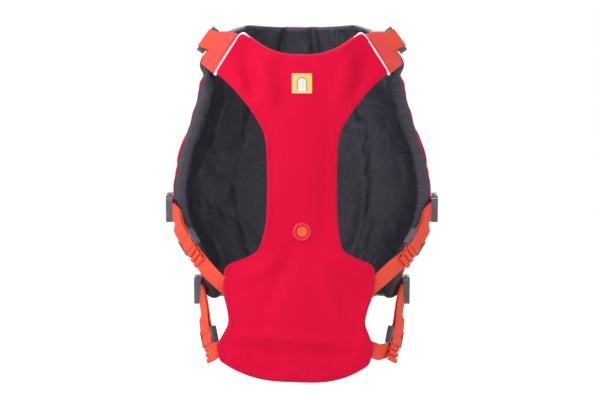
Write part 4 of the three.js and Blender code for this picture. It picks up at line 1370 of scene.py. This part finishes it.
def badge_material():
    """Woven label: its ground, its edge and its arch are picked out on the label's own map."""
    made = new_material("badge_weave", (0.70, 0.46, 0.11), 0.55, Specular_IOR_Level=0.3)
    tree = made.node_tree
    uv = cloth_place(tree)
    parts = node(tree, "ShaderNodeSeparateXYZ", {"Vector": uv})
    across, up = parts.outputs[0], parts.outputs[1]
    above = maths(tree, "MAXIMUM", maths(tree, "SUBTRACT", up, ARCH_SPRING), 0.0)
    arch = node(tree, "ShaderNodeCombineXYZ", {"X": across, "Y": above})
    size = node(tree, "ShaderNodeVectorMath", {0: arch.outputs[0]}, operation="LENGTH").outputs["Value"]
    above_foot = maths(tree, "GREATER_THAN", up, ARCH_FOOT)

    def inside(limit):
        return maths(tree, "MULTIPLY", maths(tree, "LESS_THAN", size, limit), above_foot)

    tone = mixed(tree, inside(ARCH_OUTLINE), (0.70, 0.44, 0.09), (0.13, 0.13, 0.16))
    tone = mixed(tree, inside(ARCH_RADIUS), tone, (0.58, 0.57, 0.58))
    edge = maths(tree, "MAXIMUM", maths(tree, "ABSOLUTE", across), maths(tree, "ABSOLUTE", up))
    tone = mixed(tree, maths(tree, "GREATER_THAN", edge, BADGE_EDGE), tone, (0.70, 0.52, 0.20))
    threads = use_group(tree, THREAD_WEAVE, {"Vector": uv, "Threads per metre": 8.0})
    shader = tree.nodes["Principled BSDF"]
    tree.links.new(tone, shader.inputs["Base Color"])
    tree.links.new(bump(tree, threads.outputs["Height"], 0.25, 0.0002), shader.inputs["Normal"])
    return made


BADGE_Z, BADGE_HALF = 150, 12.6


def on_badge(u, v, lift=0.9):
    return belly_spot(u * BADGE_HALF, BADGE_Z + v * BADGE_HALF, lift)


badge = laid_grid("chest_badge_label", on_badge, rounded, rounded, 0.8, 0.08)
badge.data.materials.append(badge_material())
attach(badge, "belly_panel")
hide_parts("chest_badge")
badge_stitches = square_runs(lambda u, v: on_badge(u, v, 1.0), 0.92)

# ---------------------------------------------------------------------------------------------
# Eyelet. A moulded red ring is set in the panel above the belly, with an orange button inside it
# that sits below the ring's lip.
# ---------------------------------------------------------------------------------------------
EYELET_Z = -36
eyelet_seat = belly_spot(0, EYELET_Z, 0)


def lathe(name, profile, seat, material, count=48):
    """Turns a profile of radius and height about the eyelet's axis, facing away from the dog."""
    turn = np.linspace(0, 2 * math.pi, count, endpoint=False)
    rings = []
    for radius, height in profile:
        x, z = seat[0] + radius * np.cos(turn), seat[2] + radius * np.sin(turn)
        rings.append(np.stack([x, np.full(count, seat[1] - height), z], 1))
    return link_object(name, tube_mesh(name, rings), material)


RING_PROFILE = [
    (7.7, -1.5), (7.7, 1.1), (8.0, 1.9), (8.8, 2.5), (9.8, 2.6),
    (10.9, 2.1), (11.6, 1.1), (12.0, 0), (12.0, -1.5),
]
red_rubber = moulded_material("eyelet_red_rubber", (0.60, 0.008, 0.030), 0.5)
eyelet_ring = lathe("eyelet_lip", RING_PROFILE, eyelet_seat, red_rubber)
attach(eyelet_ring, "belly_panel")
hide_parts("eyelet_ring")

BUTTON_PROFILE = [
    (6.9, -1.5), (6.9, 0.6), (6.6, 1.1), (5.8, 1.4), (4.4, 1.3), (3.9, 0.9), (2.0, 0.8), (0.4, 0.8),
]
orange_rubber = moulded_material("eyelet_orange_rubber", (0.80, 0.082, 0.018), 0.45)
eyelet_button = lathe("eyelet_button", BUTTON_PROFILE, eyelet_seat, orange_rubber)
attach(eyelet_button, "belly_panel")
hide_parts("eyelet_disc")

# ---------------------------------------------------------------------------------------------
# Stitching. Twisted polyester thread runs in short stitches along the panel's edge, beside the
# saddle's seams and over every tab and patch; each run of stitches follows a line on the cloth.
# ---------------------------------------------------------------------------------------------
def new_tree(name, sockets):
    tree = bpy.data.node_groups.new(name, "GeometryNodeTree")
    tree.interface.new_socket("Geometry", in_out="INPUT", socket_type="NodeSocketGeometry")
    names = {}
    for label, kind, default in sockets:
        socket = tree.interface.new_socket(label, in_out="INPUT", socket_type=kind)
        if default is not None:
            socket.default_value = default
        names[label] = socket.identifier
    tree.interface.new_socket("Geometry", in_out="OUTPUT", socket_type="NodeSocketGeometry")
    return tree, names


def stitch_tree():
    """Lays a small capsule at even steps along each edge of a wire mesh."""
    tree, names = new_tree("stitch_runs", [
        ("Pitch", "NodeSocketFloat", 0.0032), ("Length", "NodeSocketFloat", 0.0024),
        ("Thickness", "NodeSocketFloat", 0.0007), ("Thread", "NodeSocketMaterial", None),
    ])
    start, end = tree.nodes.new("NodeGroupInput"), tree.nodes.new("NodeGroupOutput")
    curve = node(tree, "GeometryNodeMeshToCurve", {"Mesh": start.outputs["Geometry"]})
    even = node(tree, "GeometryNodeResampleCurve", {
        "Curve": curve.outputs[0], "Length": start.outputs["Pitch"]}, mode="LENGTH")
    way = node(tree, "GeometryNodeInputTangent")
    turn = node(tree, "FunctionNodeAlignRotationToVector", {"Vector": way.outputs[0]}, axis="X")
    bead = node(tree, "GeometryNodeMeshIcoSphere", {"Radius": 0.5, "Subdivisions": 2})
    size = node(tree, "ShaderNodeCombineXYZ", {
        "X": start.outputs["Length"], "Y": start.outputs["Thickness"], "Z": start.outputs["Thickness"]})
    laid = node(tree, "GeometryNodeInstanceOnPoints", {
        "Points": even.outputs[0], "Instance": bead.outputs[0],
        "Rotation": turn.outputs[0], "Scale": size.outputs[0]})
    real = node(tree, "GeometryNodeRealizeInstances", {"Geometry": laid.outputs[0]})
    smooth = node(tree, "GeometryNodeSetShadeSmooth", {"Geometry": real.outputs[0]})
    thread = node(tree, "GeometryNodeSetMaterial", {
        "Geometry": smooth.outputs[0], "Material": start.outputs["Thread"]})
    tree.links.new(thread.outputs[0], end.inputs[0])
    return tree, names


STITCH_RUNS, STITCH_INPUTS = stitch_tree()


def stitched(name, runs, thread, pitch=3.2, length=2.4, thickness=0.7):
    """Stitches along runs of places, in millimetres, as one plain mesh."""
    points, edges = [], []
    for run in runs:
        first = len(points)
        points += [tuple(np.asarray(p) * MM) for p in run]
        edges += [(i, i + 1) for i in range(first, len(points) - 1)]
    wire = bpy.data.meshes.new(name)
    wire.from_pydata(points, edges, [])
    piece = link_object(name, wire)
    layer = piece.modifiers.new("stitches", "NODES")
    layer.node_group = STITCH_RUNS
    for label, size in (("Pitch", pitch), ("Length", length), ("Thickness", thickness)):
        layer[STITCH_INPUTS[label]] = size * MM
    layer[STITCH_INPUTS["Thread"]] = thread
    apply_modifiers(piece)
    return piece


def thread_material(name, base):
    """Twisted polyester thread."""
    made = new_material(name, base, 0.5, Specular_IOR_Level=0.25)
    tree = made.node_tree
    place = object_place(tree)
    twist = bands(tree, place, 900.0, "DIAGONAL")
    tone = mixed(tree, twist, base, darker(base, 0.7))
    tree.links.new(tone, tree.nodes["Principled BSDF"].inputs["Base Color"])
    return made


red_thread = thread_material("red_thread", (0.50, 0.004, 0.026))
grey_thread = thread_material("grey_thread", (0.10, 0.10, 0.12))
pale_thread = thread_material("pale_thread", (0.62, 0.50, 0.22))
orange_thread = thread_material("orange_thread", (0.60, 0.05, 0.02))

THREAD_LIFT = 0.15
SEAM_LOW, SEAM_HIGH = -150, 166
seam_angle = math.degrees(SPINE_SEAM * SADDLE_WRAP)
seam_heights = np.linspace(SEAM_LOW, SEAM_HIGH, 90)
beyond_strip = seam_heights[np.abs(seam_heights - STRIP_MIDDLE) >= STRIP_HALF + 2]
seam_runs = []
for side in (-1, 1):
    for shift in (-2.6, 2.6):
        angle = side * seam_angle + shift
        under_strip = STRIP_EDGES[0] < abs(angle) < STRIP_EDGES[1]
        heights = beyond_strip if under_strip else seam_heights
        seam_runs.append([saddle_spot(angle, z, THREAD_LIFT)[0] for z in heights])
SEAM_REACH = 88  # degrees from the spine, along the collar
for shift in (-4, 4):
    run = []
    for angle in np.linspace(-SEAM_REACH, SEAM_REACH, 120):
        z = float(saddle_height(angle / WRAP_DEGREES, COLLAR_LINE))
        run.append(saddle_spot(angle, z + shift, THREAD_LIFT)[0])
    seam_runs.append(run)
saddle_thread = stitched("saddle_seam_stitches", seam_runs, red_thread)
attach(saddle_thread, "saddle")

for name, runs, thread, body, slot, sizes in (
    ("tab_stitches", tab_stitches, orange_thread, "saddle", "webbing_orange", (2.2, 1.8, 0.6)),
    ("patch_stitches", patch_stitches, grey_thread, "saddle", "patch_grey", (2.6, 2.0, 0.6)),
    ("badge_stitches", badge_stitches, pale_thread, "belly_panel", "badge_yellow", (1.6, 1.3, 0.45)),
):
    piece = stitched(name, runs, thread, *sizes)
    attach(piece, body)

EDGE_INSET = 6.0
edge_runs = []
for side in (-1, 1):
    run = []
    for z in np.linspace(-196, 150, 110):
        x = side * (float(along(PANEL_OUTLINE, z)) - EDGE_INSET) + float(panel_lean(z))
        run.append(belly_spot(x, z, 0.12))
    edge_runs.append(run)
panel_thread = stitched("panel_edge_stitches", edge_runs, red_thread)
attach(panel_thread, "belly_panel")
